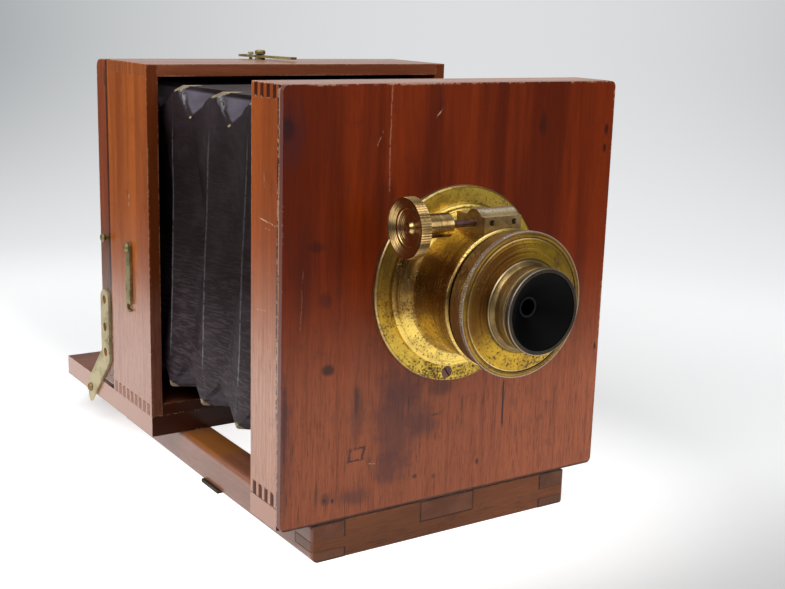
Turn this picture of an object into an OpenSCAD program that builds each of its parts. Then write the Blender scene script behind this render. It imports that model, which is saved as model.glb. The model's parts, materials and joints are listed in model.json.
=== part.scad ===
// Wooden tailboard plate camera with a brass rack focusing lens.
// Millimetres, +Z up, the lens looks towards -Y, the sliding back runs along +Y.
// The origin is the centre of the tripod socket on the underside of the base.

/* [Base frame] */
// Height of the base rails
base_h = 20; // [16:0.5:26]
// Overall width of the base frame
base_w = 163.2; // [150:0.2:180]
// Overall length of the base frame
base_len = 250; // [230:1:290]
// Width of each side rail
rail_w = 18.8; // [14:0.2:24]
// Width of the front and rear cross rails
cross_w = 18; // [12:0.5:24]
// Thickness of the tongue on each cross rail
tongue_h = 5.7; // [4:0.1:8]
// Height of the underside of the tongue above the table
tongue_z = 5.2; // [4:0.1:7]
// Width of the centre guide bar
bar_w = 34.5; // [24:0.5:44]
// Thickness of the centre guide bar
bar_h = 11.5; // [8:0.1:13]
// Distance from the tripod socket to the front of the base
front_reach = 115.5; // [105:0.5:130]

/* [Tripod strap] */
// Width of the brass strap let into the rails
strap_w = 21; // [18:0.5:30]
// Thickness of the strap
strap_t = 2; // [1.5:0.1:3]
// How far the strap stands out past each rail
strap_out = 2; // [0:0.1:4]
// Radius of the threaded tripod socket
socket_r = 4.76; // [3.1:0.01:5]
// Radius of the boss round the socket
boss_r = 10; // [8:0.5:10.4]

/* [Front box] */
// Outer width of the front box and the lens panel
box_w = 200; // [190:1:215]
// Outer height of the front box without its bottom board
front_h = 204; // [195:1:215]
// Depth of the front box behind the lens panel
front_depth = 27.7; // [24:0.1:40]
// Thickness of the box walls
wall_t = 7; // [5:0.1:9]
// Width of one comb joint finger
finger_w = 3.08; // [2.5:0.01:6]
// Thickness of the board under the front box
bottom_t = 11.3; // [9:0.1:14]
// Thickness of the lens panel
panel_t = 4; // [3.5:0.1:7]
// Radius of the rounded corners of the lens panel
panel_round = 3; // [1:0.1:6]
// Gap between the lower edge of the lens panel and the base
panel_gap = 0.5; // [0.3:0.1:2]

/* [Rear box and sliding board] */
// Outer width of the rear box and the sliding board
rear_w = 201; // [190:1:215]
// Outer height of the rear box
rear_h = 203.4; // [195:0.1:215]
// Depth of the rear box
rear_depth = 61; // [50:1:80]
// Thickness of the rear box walls
rear_wall = 6.8; // [5:0.1:9]
// Thickness of the sliding board
board_t = 12.3; // [10:0.1:15]
// Length of the sliding board
board_len = 147; // [130:1:170]
// Distance from the front box to the rear box at rest
extension = 126; // [110:1:140]
// How far each side of the sliding board stays inside the rear box
board_inset = 0.2; // [0.1:0.05:1]
// Clearance under the sliding board
slide_gap = 0.1; // [0.05:0.01:0.3]
// Width of each guide cleat under the sliding board
cleat_w = 12; // [8:0.5:16]
// Height of each guide cleat
cleat_h = 7; // [5:0.1:7.6]
// Clearance between a guide cleat and the centre bar
cleat_gap = 0.3; // [0.2:0.05:0.6]
// Furthest that the back slides towards the lens
slide_in = 95; // [60:1:95]
// Furthest that the back slides away from the lens
slide_out = 30; // [10:1:30]

/* [Screen] */
// Thickness of the focusing screen frame
screen_t = 16; // [13:0.1:20]
// Width of the stiles and rails of the screen frame
stile_w = 20; // [17:0.5:26]
// Gap between the screen frame and the sliding board
screen_gap = 3; // [2:0.1:5]
// How far the screen frame stays below the top of the rear box
screen_drop = 0.6; // [0:0.1:2]
// Thickness of the ground glass
glass_t = 2; // [1.5:0.1:3]
// Depth from the front of the frame to the ground glass
glass_in = 5; // [3:0.1:8]
// Cover of the glass over the edge of the frame opening
glass_lap = 5; // [3:0.5:8]
// Clearance round the ground glass
glass_gap = 0.2; // [0.1:0.05:0.4]
// Width and thickness of the beads that hold the glass
bead_t = 4; // [3:0.1:6]

/* [Hinge straps] */
// Width of each hinge strap
hinge_w = 13; // [10:0.2:15]
// Thickness of each hinge strap
hinge_t = 1.5; // [1:0.1:2]
// Height of the top of a strap above the table
hinge_top = 94.8; // [80:0.2:110]
// Height where a strap turns back towards its pivot
hinge_bend = 52; // [46:0.5:60]
// Height of the hinge pivot above the table
pivot_z = 24; // [23:0.1:27]
// Distance of the hinge pivot behind the rear box
pivot_back = 37; // [34:0.5:42]
// Radius of the pivot screw shanks
pivot_r = 1.6; // [1.2:0.1:2]
// Running clearance of pivots in their holes
pin_gap = 0.06; // [0.02:0.01:0.1]
// Play between parts that turn beside each other
side_gap = 0.3; // [0.2:0.05:0.5]

/* [Hooks and latch] */
// Thickness of the side hooks
hook_t = 1.5; // [1:0.1:2]
// Width of the side hooks
hook_w = 6.6; // [6:0.1:9]
// Distance from a hook's pivot to its notch
hook_reach = 35.5; // [30:0.5:40]
// Height of the hook pivots above the table
hook_z = 128.5; // [110:0.5:150]
// Distance of the hook pivots in front of the back of the rear box
hook_in = 32; // [27:0.5:36]
// Radius of the studs
stud_r = 1.5; // [1:0.1:1.8]
// Radius of the heads of studs and pivots
head_r = 2.8; // [2.4:0.1:3.4]
// Thickness of the top latch bar
latch_t = 1.4; // [1:0.1:2]
// Half of the width of the top latch bar
latch_half = 2.6; // [2.4:0.1:2.7]
// Length of the latch in front of its pivot
latch_front = 28.8; // [20:0.2:40]
// Distance from the latch pivot to the stud that it catches
latch_reach = 13; // [12.9:0.1:16]
// Distance of the latch pivot in front of the back of the rear box
latch_in = 7.5; // [6:0.1:8]
// How far to the right of the middle the latch sits, negative to the left
latch_x = -3; // [-20:0.5:20]
// Angle of the latch when it stands open beside its stud
latch_angle = 18; // [18:1:40]

/* [Lens mount] */
// Height of the lens axis above the table
lens_z = 135; // [120:0.5:150]
// Radius of the flange
flange_r = 50.3; // [47:0.1:56]
// Thickness of the flange
flange_t = 3; // [2:0.1:4]
// Radius of the heads of the flange screws
flange_head_r = 3.2; // [2.3:0.1:3.4]
// Angle of the lowest flange screw about the lens axis
flange_screw_angle = -97.5; // [-100:0.5:-80]
// Radius of the threaded neck of the barrel
neck_r = 35.8; // [35:0.1:38]
// Radius of the shoulder of the barrel
shoulder_r = 41; // [40:0.1:43]
// Outer radius of the barrel
barrel_r = 33; // [32.9:0.1:34]
// Length of the barrel in front of the panel
barrel_len = 40; // [40:0.5:46]
// Outer radius of the sliding lens tube
tube_r = 31.2; // [30:0.1:31.2]
// Wall of the sliding lens tube
tube_wall = 1.8; // [1.5:0.1:2.2]
// Clearance between the lens tube and the barrel
tube_gap = 0.07; // [0.03:0.01:0.1]
// Furthest that the lens tube slides into the barrel
focus_in = 0.8; // [0.4:0.1:1]
// Furthest that the lens tube slides out of the barrel
focus_out = 14; // [8:0.5:14]

/* [Rack and pinion] */
// Number of pinion teeth
teeth = 15; // [12:1:20]
// Radius of the pitch circle of the pinion
pitch_r = 4.7; // [4.5:0.05:4.8]
// Height of the rack's pitch line above the lens axis
rack_line = 31.6; // [31.5:0.05:31.7]
// Height of a tooth above its pitch line
tooth_add = 0.5; // [0.35:0.01:0.55]
// Depth of a tooth below its pitch line
tooth_ded = 0.68; // [0.6:0.01:0.7]
// Play between the teeth along the pitch line
tooth_play = 0.3; // [0.2:0.01:0.4]
// Width of the rack
rack_w = 5; // [4:0.1:6]
// Radius of the pinion shaft
shaft_r = 1.9; // [1.5:0.05:2.2]
// Distance of the pinion in front of the lens panel
pinion_y = 27; // [25:0.5:28]
// Half of the length of the pinion housing across the barrel
housing_half = 11; // [9:0.1:12]

/* [Focusing knob] */
// Radius of the knob
knob_r = 14.5; // [12:0.1:17]
// Thickness of the knob
knob_t = 5.6; // [4:0.1:7]
// Distance of the knob's face from the lens axis
knob_x = 51; // [46:0.5:60]
// Radius of the knob's collar
collar_r = 5.8; // [4.5:0.1:7]
// Gap between the collar and the housing
collar_gap = 15.5; // [10:0.5:20]
// Number of knurls round the knob
knob_knurls = 72; // [40:1:90]

/* [Front ring and hood] */
// Outer radius of the front ring
ring_r = 35.5; // [34:0.1:37]
// Width of the knurled edge of the front ring
ring_t = 2.2; // [1.5:0.1:3]
// Radius of the plain skirt behind the knurled edge
skirt_r = 34; // [33:0.1:34.4]
// Length of the plain skirt
skirt_len = 9.6; // [8:0.1:12]
// Distance from the skirt to the barrel at rest
ring_gap = 1.2; // [1.1:0.1:2]
// Number of knurls round the front ring
ring_knurls = 180; // [120:1:220]
// Outer radius of the hood tube
hood_r = 19.8; // [18:0.1:22]
// Radius of the rim that a cap pushes on
hood_rim_r = 20.65; // [19:0.05:24]
// Length of the rim
hood_rim_len = 3.2; // [3:0.1:5]
// Length of the hood in front of the front ring
hood_len = 14; // [12:0.5:20]
// Radius of the stop
stop_r = 4; // [2:0.1:6]
// Depth of the stop inside the hood
stop_depth = 11.5; // [9:0.5:14]

/* [Bellows] */
// Space between the bellows and each side wall of the front box
front_side_space = 3.5; // [3:0.1:8]
// Space between the bellows and the top of the front box
front_top_space = 2.3; // [2:0.1:8]
// Space between the bellows and the bottom of the front box
front_bottom_space = 11.7; // [4:0.1:14]
// Space between the bellows and each side wall of the rear box
rear_side_space = 4.2; // [3:0.1:8]
// Space between the bellows and the top of the rear box
rear_top_space = 3; // [2:0.1:8]
// Space between the bellows and the bottom of the rear box
rear_bottom_space = 10.8; // [4:0.1:14]
// Number of folds
folds = 4; // [3:1:8]
// Distance between the ridges of two folds
fold_pitch = 42.5; // [38:0.1:44]
// How far the valleys lie inside the ridges
fold_in = 2; // [1:0.1:5]
// Size of the corner cut at each valley
fold_corner = 20; // [12:0.5:24]
// Thickness of the bellows cloth
cloth_t = 1.4; // [1:0.1:2]
// Distance from the lens panel to the front holder of the bellows
holder_in = 11; // [8:0.5:14]
// Length of the plain collar behind the last fold
collar_len = 14; // [8:0.5:18]
// How far the collar draws in towards the rear holder
collar_in = 5; // [3:0.5:8]
// Thickness of the wooden frames that hold the bellows
holder_t = 5; // [4:0.1:8]
// How far those frames reach inside the bellows
holder_lap = 8; // [6:0.5:11]

/* [Hidden] */
$fn = 96;
tiny = 0.01;

front_y = -front_reach;
panel_y = front_y + panel_t;
front_back_y = panel_y + front_depth;
rear_base_y = front_y + base_len;
rail_in = base_w / 2 - rail_w;
front_z = base_h + bottom_t;
front_top = front_z + front_h;
rear_y = front_back_y + extension;
rear_back_y = rear_y + rear_depth;
board_z = base_h + slide_gap;
board_top = board_z + board_t;
rear_top = board_top + rear_h;
screen_z = board_top + screen_gap;
screen_top = rear_top - screen_drop;
screen_back_y = rear_back_y + screen_t;
side_x = rear_w / 2;
pivot_y = rear_back_y + pivot_back;
hook_y = rear_back_y - hook_in;
stud_y = hook_y + hook_reach;
latch_y = rear_back_y - latch_in;
latch_stud_y = latch_y + latch_reach;
latch_washer_t = 0.9;
latch_z = rear_top + latch_washer_t + side_gap;
barrel_bore = tube_r + tube_gap;
ring_out = barrel_len + ring_gap;
ring_face = ring_out + skirt_len + ring_t;
ring_plate = 3;
face_rise = 1.5;
hood_out = ring_face + face_rise + hood_len;
hood_bore = hood_r - 1.2;
stop_out = hood_out - stop_depth;
pinion_h = rack_line + pitch_r;
pitch_len = 2 * PI * pitch_r / teeth;
hump_r = pitch_r + tooth_add + 1.4;
cavity_r = pitch_r + tooth_add + 0.35;
rack_back = pinion_y - focus_out - 2;
rack_front = pinion_y + focus_in + 2.5;
groove_r = rack_line + tooth_add + 0.4;
bellows_y0 = panel_y + holder_in + holder_t;
bellows_y1 = bellows_y0 + folds * fold_pitch;
rear_holder_y = bellows_y1 + collar_len;
wood_screw_r = 1.7;
wood_head_r = 3.2;

// A block between two opposite corners
module block(low, high) {
    translate(low) cube(high - low);
}

// A mirrored pair, left and right
module both_sides() {
    children();
    mirror([1, 0, 0]) children();
}

// Puts a shape that points along +Z onto the lens axis, pointing forwards
module on_lens_axis() {
    translate([0, front_y, lens_z]) rotate([90, 0, 0]) children();
}

// Puts a shape that points along +Z at a point, pointing to the left
module pointing_left(at) {
    translate(at) rotate([0, -90, 0]) children();
}

// Puts a flat outline of Y and Z onto the plane X = 0, thick towards the left
module plate_left(x, t) {
    translate([-x, 0, 0]) rotate([90, 0, -90]) linear_extrude(t) mirror([1, 0, 0]) children();
}

function arc(cx, cy, r, from, to, n) =
    [for (i = [0:n]) let (a = from + (to - from) * i / n) [cx + r * cos(a), cy + r * sin(a)]];

// A countersunk wood screw that points along +Z, its head flush at z = 0
module wood_screw(r, head, len, slot = true) {
    sink = head - r;
    difference() {
        union() {
            cylinder(r1 = head, r2 = r, h = sink, $fn = 32);
            cylinder(r = r, h = len, $fn = 32);
        }
        if (slot) block([-head, -0.35, -tiny], [head, 0.35, sink / 2]);
    }
}

// The hole that the same screw leaves
module screw_hole(r, head, len) {
    wood_screw(r, head, len, false);
}

// Tongues left on a board end, or the gaps between them, along Y
module comb(y0, depth, x0, x1, z0, z1, first) {
    n = 2 * floor(depth / finger_w / 2) + 1;
    w = depth / n;
    for (i = [first:2:n - 1])
        block([x0, y0 + i * w, z0], [x1, y0 + (i + 1) * w, z1]);
}

// Side wall of a box, with comb joints at both ends, on the left
module side_wall(w, y0, depth, z0, z1, t) {
    difference() {
        block([-w / 2, y0, z0], [-w / 2 + t, y0 + depth, z1]);
        for (z = [z0, z1 - t])
            comb(y0, depth, -w / 2 - 1, -w / 2 + t + 1, z, z + t, 1);
    }
}

// Top or bottom wall of the same box
module level_wall(w, y0, depth, z, t) {
    block([-w / 2 + t, y0, z], [w / 2 - t, y0 + depth, z + t]);
    both_sides() comb(y0, depth, -w / 2, -w / 2 + t, z, z + t, 1);
}

// Base frame

module tongue_space(y0) {
    block([-base_w / 2 - 1, y0, tongue_z], [-rail_in + 1, y0 + cross_w, tongue_z + tongue_h]);
}

module strap_space() {
    block([-base_w, -strap_w / 2, -1], [base_w, strap_w / 2, strap_t]);
}

module base_rail_left() {
    color([0.62, 0.38, 0.25]) difference() {
        block([-base_w / 2, front_y, 0], [-rail_in, rear_base_y, base_h]);
        tongue_space(front_y);
        tongue_space(rear_base_y - cross_w);
        strap_space();
        strap_screw_places() screw_hole(wood_screw_r, wood_head_r, strap_screw_len);
        board_screw_places() board_screw_hole();
    }
}

module base_rail_right() {
    mirror([1, 0, 0]) base_rail_left();
}

module cross_rail(y0) {
    difference() {
        union() {
            block([-rail_in, y0, 0], [rail_in, y0 + cross_w, base_h]);
            block([-base_w / 2, y0, tongue_z], [base_w / 2, y0 + cross_w, tongue_z + tongue_h]);
        }
        block([-bar_w / 2, y0 - 1, base_h - bar_h], [bar_w / 2, y0 + cross_w + 1, base_h + 1]);
    }
}

module base_front_rail() {
    color([0.6, 0.36, 0.24]) cross_rail(front_y);
}

module base_rear_rail() {
    color([0.6, 0.36, 0.24]) cross_rail(rear_base_y - cross_w);
}

module centre_bar() {
    color([0.56, 0.33, 0.2])
        block([-bar_w / 2, front_y, base_h - bar_h], [bar_w / 2, rear_base_y, base_h]);
}

// Tripod strap

strap_screw_len = 14;

module strap_screw_places() {
    for (x = [-base_w / 2 + rail_w / 2, base_w / 2 - rail_w / 2], y = [-1, 1] * strap_w / 4)
        translate([x, y, 0]) children();
}

module tripod_strap() {
    color([0.55, 0.53, 0.32]) difference() {
        union() {
            block([-base_w / 2 - strap_out, -strap_w / 2, 0],
                [base_w / 2 + strap_out, strap_w / 2, strap_t]);
            cylinder(r = boss_r, h = base_h - bar_h - side_gap);
        }
        translate([0, 0, -1]) cylinder(r = socket_r, h = base_h);
        strap_screw_places() screw_hole(wood_screw_r, wood_head_r, strap_screw_len);
    }
}

module tripod_strap_screws() {
    color([0.5, 0.48, 0.34]) strap_screw_places()
        wood_screw(wood_screw_r - 0.02, wood_head_r - 0.02, strap_screw_len);
}

// Front box

board_screw_len = 12;
board_screw_back = 4.5;

module board_screw_places() {
    for (x = [-1, 1] * (base_w / 2 - rail_w / 2), y = [front_y + cross_w + board_screw_back])
        translate([x, y, base_h - 4]) children();
}

// A deep counterbore lets a short screw hold the board from below
module board_screw_hole() {
    screw_hole(wood_screw_r, wood_head_r, board_screw_len);
    translate([0, 0, -base_h]) cylinder(r = wood_head_r + 0.3, h = base_h + tiny, $fn = 32);
}

module front_bottom_board() {
    color([0.6, 0.34, 0.22]) difference() {
        block([-box_w / 2, panel_y, base_h], [box_w / 2, front_back_y, front_z]);
        board_screw_places() screw_hole(wood_screw_r, wood_head_r, board_screw_len);
    }
}

module front_board_screws() {
    color([0.4, 0.38, 0.36]) board_screw_places()
        wood_screw(wood_screw_r - 0.02, wood_head_r - 0.02, board_screw_len - 0.1);
}

module front_box_left() {
    color([0.72, 0.34, 0.15])
        side_wall(box_w, panel_y, front_depth, front_z, front_top, wall_t);
}

module front_box_right() {
    mirror([1, 0, 0]) front_box_left();
}

module front_box_top() {
    color([0.66, 0.31, 0.17]) level_wall(box_w, panel_y, front_depth, front_top - wall_t, wall_t);
}

module front_box_bottom() {
    color([0.6, 0.3, 0.17]) level_wall(box_w, panel_y, front_depth, front_z, wall_t);
}

module panel_outline() {
    x = box_w / 2 - panel_round;
    low = base_h + panel_gap + panel_round;
    high = front_top - panel_round;
    polygon(concat(
        arc(x, high, panel_round, 0, 90, 6), arc(-x, high, panel_round, 90, 180, 6),
        arc(-x, low, panel_round, 180, 270, 6), arc(x, low, panel_round, 270, 360, 6)
    ));
}

module lens_panel() {
    color([0.52, 0.2, 0.1]) difference() {
        translate([0, panel_y, 0]) rotate([90, 0, 0]) linear_extrude(panel_t) panel_outline();
        on_lens_axis() {
            translate([0, 0, -panel_t - 1]) cylinder(r = neck_r + 0.2, h = panel_t + 2);
            flange_screw_places() flange_screw(false);
        }
    }
}

// Lens mount

module flange_screw_places() {
    for (a = [0, 120, 240])
        rotate([0, 0, flange_screw_angle + a])
            translate([(flange_r + shoulder_r) / 2, 0, flange_t]) children();
}

module flange_screw(slot) {
    rotate([180, 0, 40]) wood_screw(1, flange_head_r, flange_t + panel_t - 0.5, slot);
}

module lens_flange() {
    color([0.75, 0.6, 0.2]) on_lens_axis() difference() {
        rotate_extrude() polygon([
            [neck_r + 0.05, 0], [flange_r, 0], [flange_r, flange_t - 1],
            [flange_r - 0.4, flange_t - 0.3], [flange_r - 1, flange_t], [neck_r + 0.05, flange_t]
        ]);
        flange_screw_places() flange_screw(false);
    }
}

module lens_flange_screws() {
    color([0.5, 0.42, 0.25]) on_lens_axis() flange_screw_places() flange_screw(true);
}

module lens_barrel() {
    cove = shoulder_r - barrel_r - 1;
    bead = 1.5;
    color([0.72, 0.56, 0.22]) on_lens_axis() difference() {
        rotate_extrude() polygon(concat(
            [[barrel_bore, -panel_t], [neck_r, -panel_t], [neck_r, flange_t],
                [shoulder_r + 1, flange_t], [shoulder_r + 1, flange_t + 1.6],
                [shoulder_r, flange_t + 2.2], [shoulder_r - 1, flange_t + 2.4]],
            arc(barrel_r + cove, flange_t + 2.4 + cove, cove, -90, -180, 10),
            [[barrel_r, barrel_len - 2 * bead]],
            arc(barrel_r, barrel_len - bead, bead, -90, 90, 10),
            [[barrel_bore, barrel_len]]
        ));
        // Groove for the rack and the window where the pinion meets it
        block([-rack_w / 2 - 0.4, 0, -panel_t - 1],
            [rack_w / 2 + 0.4, groove_r, barrel_len + 1]);
        block([-rack_w / 2 - 0.4, 0, pinion_y - cavity_r],
            [rack_w / 2 + 0.4, barrel_r + 2, pinion_y + cavity_r]);
    }
}

// Focusing gear

housing_back = 13;
housing_front = 35.4;
housing_top = 39.8;
bearing_end = housing_half - 2.5;

module housing_screw_places() {
    for (x = [-1, 1] * housing_half * 0.6)
        translate([x, (housing_top + barrel_r) / 2 + 0.6, housing_front]) rotate([180, 0, 0])
            children();
}

// Outline of the housing seen along its shaft: forward along X, upward along Y
module housing_outline() {
    translate([housing_back, barrel_r - 4])
        square([housing_front - housing_back, housing_top - barrel_r + 4]);
    translate([pinion_y, pinion_h]) circle(r = hump_r);
}

// Chamber for the pinion, open towards the rack
module chamber_outline() {
    translate([pinion_y, pinion_h]) circle(r = cavity_r);
    translate([pinion_y - cavity_r, barrel_r - 6]) square([2 * cavity_r, pinion_h - barrel_r + 6]);
}

// Extrudes such an outline across the barrel from one X to another
module across(x0, x1) {
    multmatrix([[0, 0, 1, x0], [0, 1, 0, 0], [1, 0, 0, 0], [0, 0, 0, 1]])
        linear_extrude(x1 - x0) children();
}

module pinion_housing() {
    chamber = rack_w / 2 + 0.4;
    color([0.66, 0.54, 0.26]) on_lens_axis() difference() {
        across(-housing_half, housing_half) housing_outline();
        cylinder(r = barrel_r + 0.03, h = barrel_len);
        across(-chamber, chamber) chamber_outline();
        translate([-housing_half - 1, pinion_h, pinion_y]) rotate([0, 90, 0])
            cylinder(r = shaft_r + pin_gap, h = housing_half + 1 + bearing_end);
        housing_screw_places() screw_hole(0.8, 1.5, 5);
    }
}

module housing_screws() {
    color([0.5, 0.42, 0.25]) on_lens_axis() housing_screw_places() wood_screw(0.78, 1.48, 4.9);
}

// Outline of one tooth along +Y from its pitch line, 20 degree flanks
function tooth(thick, add, ded) = let (s = tan(20)) [
    [-thick / 2 - ded * s, -ded], [-thick / 2 + add * s, add],
    [thick / 2 - add * s, add], [thick / 2 + ded * s, -ded]
];

tooth_thick = pitch_len / 2 - tooth_play;

module focus_pinion() {
    color([0.36, 0.27, 0.24]) translate([0, front_y - pinion_y, lens_z + pinion_h]) {
        rotate([0, 90, 0]) {
            translate([0, 0, -rack_w / 2 + 0.2]) linear_extrude(rack_w - 0.4) union() {
                circle(r = pitch_r - tooth_ded + 0.06);
                for (i = [0:teeth - 1])
                    rotate(360 * i / teeth - 90) translate([0, pitch_r])
                        polygon(tooth(tooth_thick, tooth_add, tooth_ded));
            }
            translate([0, 0, -knob_x + 3]) cylinder(r = shaft_r, h = knob_x - 3 + bearing_end - 0.3);
        }
    }
}

// Outline of the rack, forward along X and upward along Y, one gap under the pinion's centre
module rack_outline() {
    behind = floor((pinion_y - rack_back) / pitch_len);
    ahead = floor((rack_front - pinion_y) / pitch_len);
    polygon(concat(
        [[rack_back, tube_r - tube_wall], [rack_back, rack_line - tooth_ded]],
        [for (i = [-behind:ahead - 1], p = tooth(tooth_thick, tooth_add, tooth_ded))
            [pinion_y + (i + 0.5) * pitch_len + p[0], rack_line + p[1]]],
        [[rack_front, rack_line - tooth_ded], [rack_front, tube_r - tube_wall]]
    ));
}

module focus_rack() {
    color([0.45, 0.4, 0.3]) on_lens_axis() across(-rack_w / 2, rack_w / 2) rack_outline();
}

module focus_knob() {
    lip = 1.1;
    dish = 3.2;
    color([0.78, 0.62, 0.22])
        pointing_left([0, front_y - pinion_y, lens_z + pinion_h]) difference() {
            union() {
                translate([0, 0, knob_x - knob_t]) linear_extrude(knob_t)
                    knurled(knob_r, knob_knurls, 0.35);
                translate([0, 0, housing_half + collar_gap])
                    cylinder(r = collar_r, h = knob_x - housing_half - collar_gap - 1);
            }
            // The dished face, with a small flat boss in the middle
            translate([0, 0, knob_x]) rotate_extrude() polygon(concat(
                [[0, -dish + 1.2], [2, -dish + 1.2], [3, -dish]],
                [for (i = [0:8]) let (f = i / 8)
                    [4 + (knob_r - lip - 4) * f, -dish * (1 - f * f)]],
                [[knob_r - lip, 1], [0, 1]]
            ));
            rotate_extrude() polygon([
                [0, 0], [shaft_r + 0.02, 0], [shaft_r + 0.02, knob_x - 2.9], [0, knob_x - 2.9]
            ]);
        }
}

// A disc with a straight knurl cut round its edge
module knurled(r, n, depth) {
    polygon([for (i = [0:2 * n - 1])
        let (a = 180 * i / n, q = r - (i % 2) * depth) [q * cos(a), q * sin(a)]]);
}

// Lens tube

module lens_tube() {
    inner = tube_r - tube_wall;
    color([0.6, 0.42, 0.22]) on_lens_axis() difference() {
        rotate_extrude() polygon([
            [inner, housing_back - 2], [tube_r, housing_back - 2],
            [tube_r, ring_out], [inner, ring_out]
        ]);
        block([-rack_w / 2, 0, rack_back], [rack_w / 2, tube_r + 1, rack_front]);
    }
}

module front_ring() {
    neck = tube_r - tube_wall - 0.02;
    neck_len = 5;
    color([0.76, 0.6, 0.18]) on_lens_axis() difference() {
        union() {
            translate([0, 0, ring_face - ring_t]) linear_extrude(ring_t)
                knurled(ring_r, ring_knurls, 0.25);
            rotate_extrude() polygon([
                [0, ring_out - neck_len], [neck, ring_out - neck_len], [neck, ring_out],
                [skirt_r - 0.4, ring_out], [skirt_r, ring_out + 0.4],
                [skirt_r, ring_face - ring_t + 0.5], [ring_r - 1.2, ring_face],
                [ring_r - 1.9, ring_face + 0.5], [ring_r - 2.8, ring_face + 0.4],
                [ring_r - 3.1, ring_face], [ring_r - 3.6, ring_face + 0.2],
                [hood_r + 2.4, ring_face + face_rise], [0, ring_face + face_rise]
            ]);
        }
        translate([0, 0, ring_out - neck_len - 1])
            cylinder(r = neck - 2, h = ring_face - ring_plate - ring_out + neck_len + 1);
        cylinder(r = hood_r - 1.5, h = 2 * hood_out);
    }
}

module lens_hood() {
    base = ring_face + face_rise;
    back = ring_face - ring_plate - 1.6;
    color([0.72, 0.6, 0.32]) on_lens_axis() rotate_extrude() polygon(concat(
        [[hood_bore - 1, back], [hood_r - 1.55, back], [hood_r - 1.55, base],
            [hood_r + 2.2, base], [hood_r + 2.3, base + 0.5], [hood_r + 1.9, base + 1]],
        [for (i = [0:5]) [hood_r + 1.6 * pow(1 - i / 5, 2), base + 1 + 2.5 * i / 5]],
        arc(hood_r, hood_out - hood_rim_len - 1.3, 0.6, -90, 90, 6),
        [[hood_rim_r - 0.2, hood_out - hood_rim_len], [hood_rim_r, hood_out - hood_rim_len + 0.2],
            [hood_rim_r, hood_out - 0.3], [hood_rim_r - 0.3, hood_out],
            [hood_bore, hood_out], [hood_bore, stop_out - 1.5], [hood_bore - 1, stop_out - 1.5]]
    ));
}

module stop_cone() {
    color([0.07, 0.07, 0.08]) on_lens_axis() rotate_extrude() polygon([
        [stop_r, stop_out - 1], [hood_bore - 0.02, stop_out - 1], [hood_bore - 0.02, hood_out - 0.4],
        [hood_bore - 0.5, hood_out - 0.4], [stop_r + 1, stop_out + 0.2], [stop_r, stop_out]
    ]);
}

cell_back = housing_back;
cell_bore = 25;
cell_len = 10;
cell_lip = 1.5;
cell_step = 2;

module lens_cell() {
    outer = tube_r - tube_wall - 0.02;
    color([0.2, 0.18, 0.16]) on_lens_axis() translate([0, 0, cell_back]) rotate_extrude() polygon([
        [cell_bore - cell_step, 0], [outer, 0], [outer, cell_len], [cell_bore - cell_step, cell_len],
        [cell_bore - cell_step, cell_len - cell_lip], [cell_bore, cell_len - cell_lip],
        [cell_bore, cell_lip], [cell_bore - cell_step, cell_lip]
    ]);
}

module lens_glass() {
    r = cell_bore - 0.05;
    bow = 2.4;
    curve = (r * r + bow * bow) / 2 / bow;
    half = asin(r / curve);
    color([0.75, 0.85, 0.85, 0.4]) on_lens_axis()
        translate([0, 0, cell_back + cell_lip + 0.1]) rotate_extrude() polygon(concat(
            [[0, 0], [r, 0]],
            [for (i = [0:8]) let (a = half * (1 - i / 8))
                [curve * sin(a), 4.3 + bow - curve * (1 - cos(a))]]
        ));
}

// Bellows

ridge_corner = 1.2;

// Half width, lowest and highest point of the bellows at the front and at the rear
bellows_front = [box_w / 2 - wall_t - front_side_space, front_z + wall_t + front_bottom_space,
    front_top - wall_t - front_top_space];
bellows_rear = [side_x - rear_wall - rear_side_space, board_top + rear_wall + rear_bottom_space,
    rear_top - rear_wall - rear_top_space];

// The same three sizes drawn in by d
function drawn_in(sizes, d) = [sizes[0] - d, sizes[1] + d, sizes[2] - d];

// One ring of eight points: a rectangle with its corners cut by c
function bellows_ring(y, sizes, c) = let (w = sizes[0], low = sizes[1], high = sizes[2]) [
    [-w + c, y, high], [w - c, y, high], [w, y, high - c], [w, y, low + c],
    [w - c, y, low], [-w + c, y, low], [-w, y, low + c], [-w, y, high - c]
];

function fold_ring(k, inset) = let (valley = k % 2 == 1, f = k / (2 * folds))
    bellows_ring(bellows_y0 + k * fold_pitch / 2,
        drawn_in(bellows_front * (1 - f) + bellows_rear * f, (valley ? fold_in : 0) + inset),
        valley ? fold_corner : ridge_corner);

function bellows_skin(inset) = concat(
    [for (k = [0:2 * folds]) each fold_ring(k, inset)],
    bellows_ring(rear_holder_y, drawn_in(bellows_rear, collar_in + inset), ridge_corner)
);

module bellows() {
    rings = 2 * folds + 2;
    count = 8 * rings;
    points = concat(bellows_skin(0), bellows_skin(cloth_t));
    outside = [for (k = [0:rings - 2], i = [0:7]) let (a = 8 * k + i, b = 8 * k + (i + 1) % 8)
        each [[a, a + 8, b], [b, a + 8, b + 8]]];
    inside = [for (f = outside) [f[0] + count, f[2] + count, f[1] + count]];
    ends = [for (i = [0:7]) let (j = (i + 1) % 8, e = count - 8) each [
        [i, j, i + count], [j, j + count, i + count],
        [e + i, e + i + count, e + j], [e + j, e + i + count, e + j + count]
    ]];
    color([0.14, 0.13, 0.14]) polyhedron(points, concat(outside, inside, ends));
}

module holder(w, z0, z1, y0, sizes) {
    hole = drawn_in(sizes, holder_lap);
    difference() {
        block([-w / 2, y0, z0], [w / 2, y0 + holder_t, z1]);
        block([-hole[0], y0 - 1, hole[1]], [hole[0], y0 + holder_t + 1, hole[2]]);
    }
}

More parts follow.
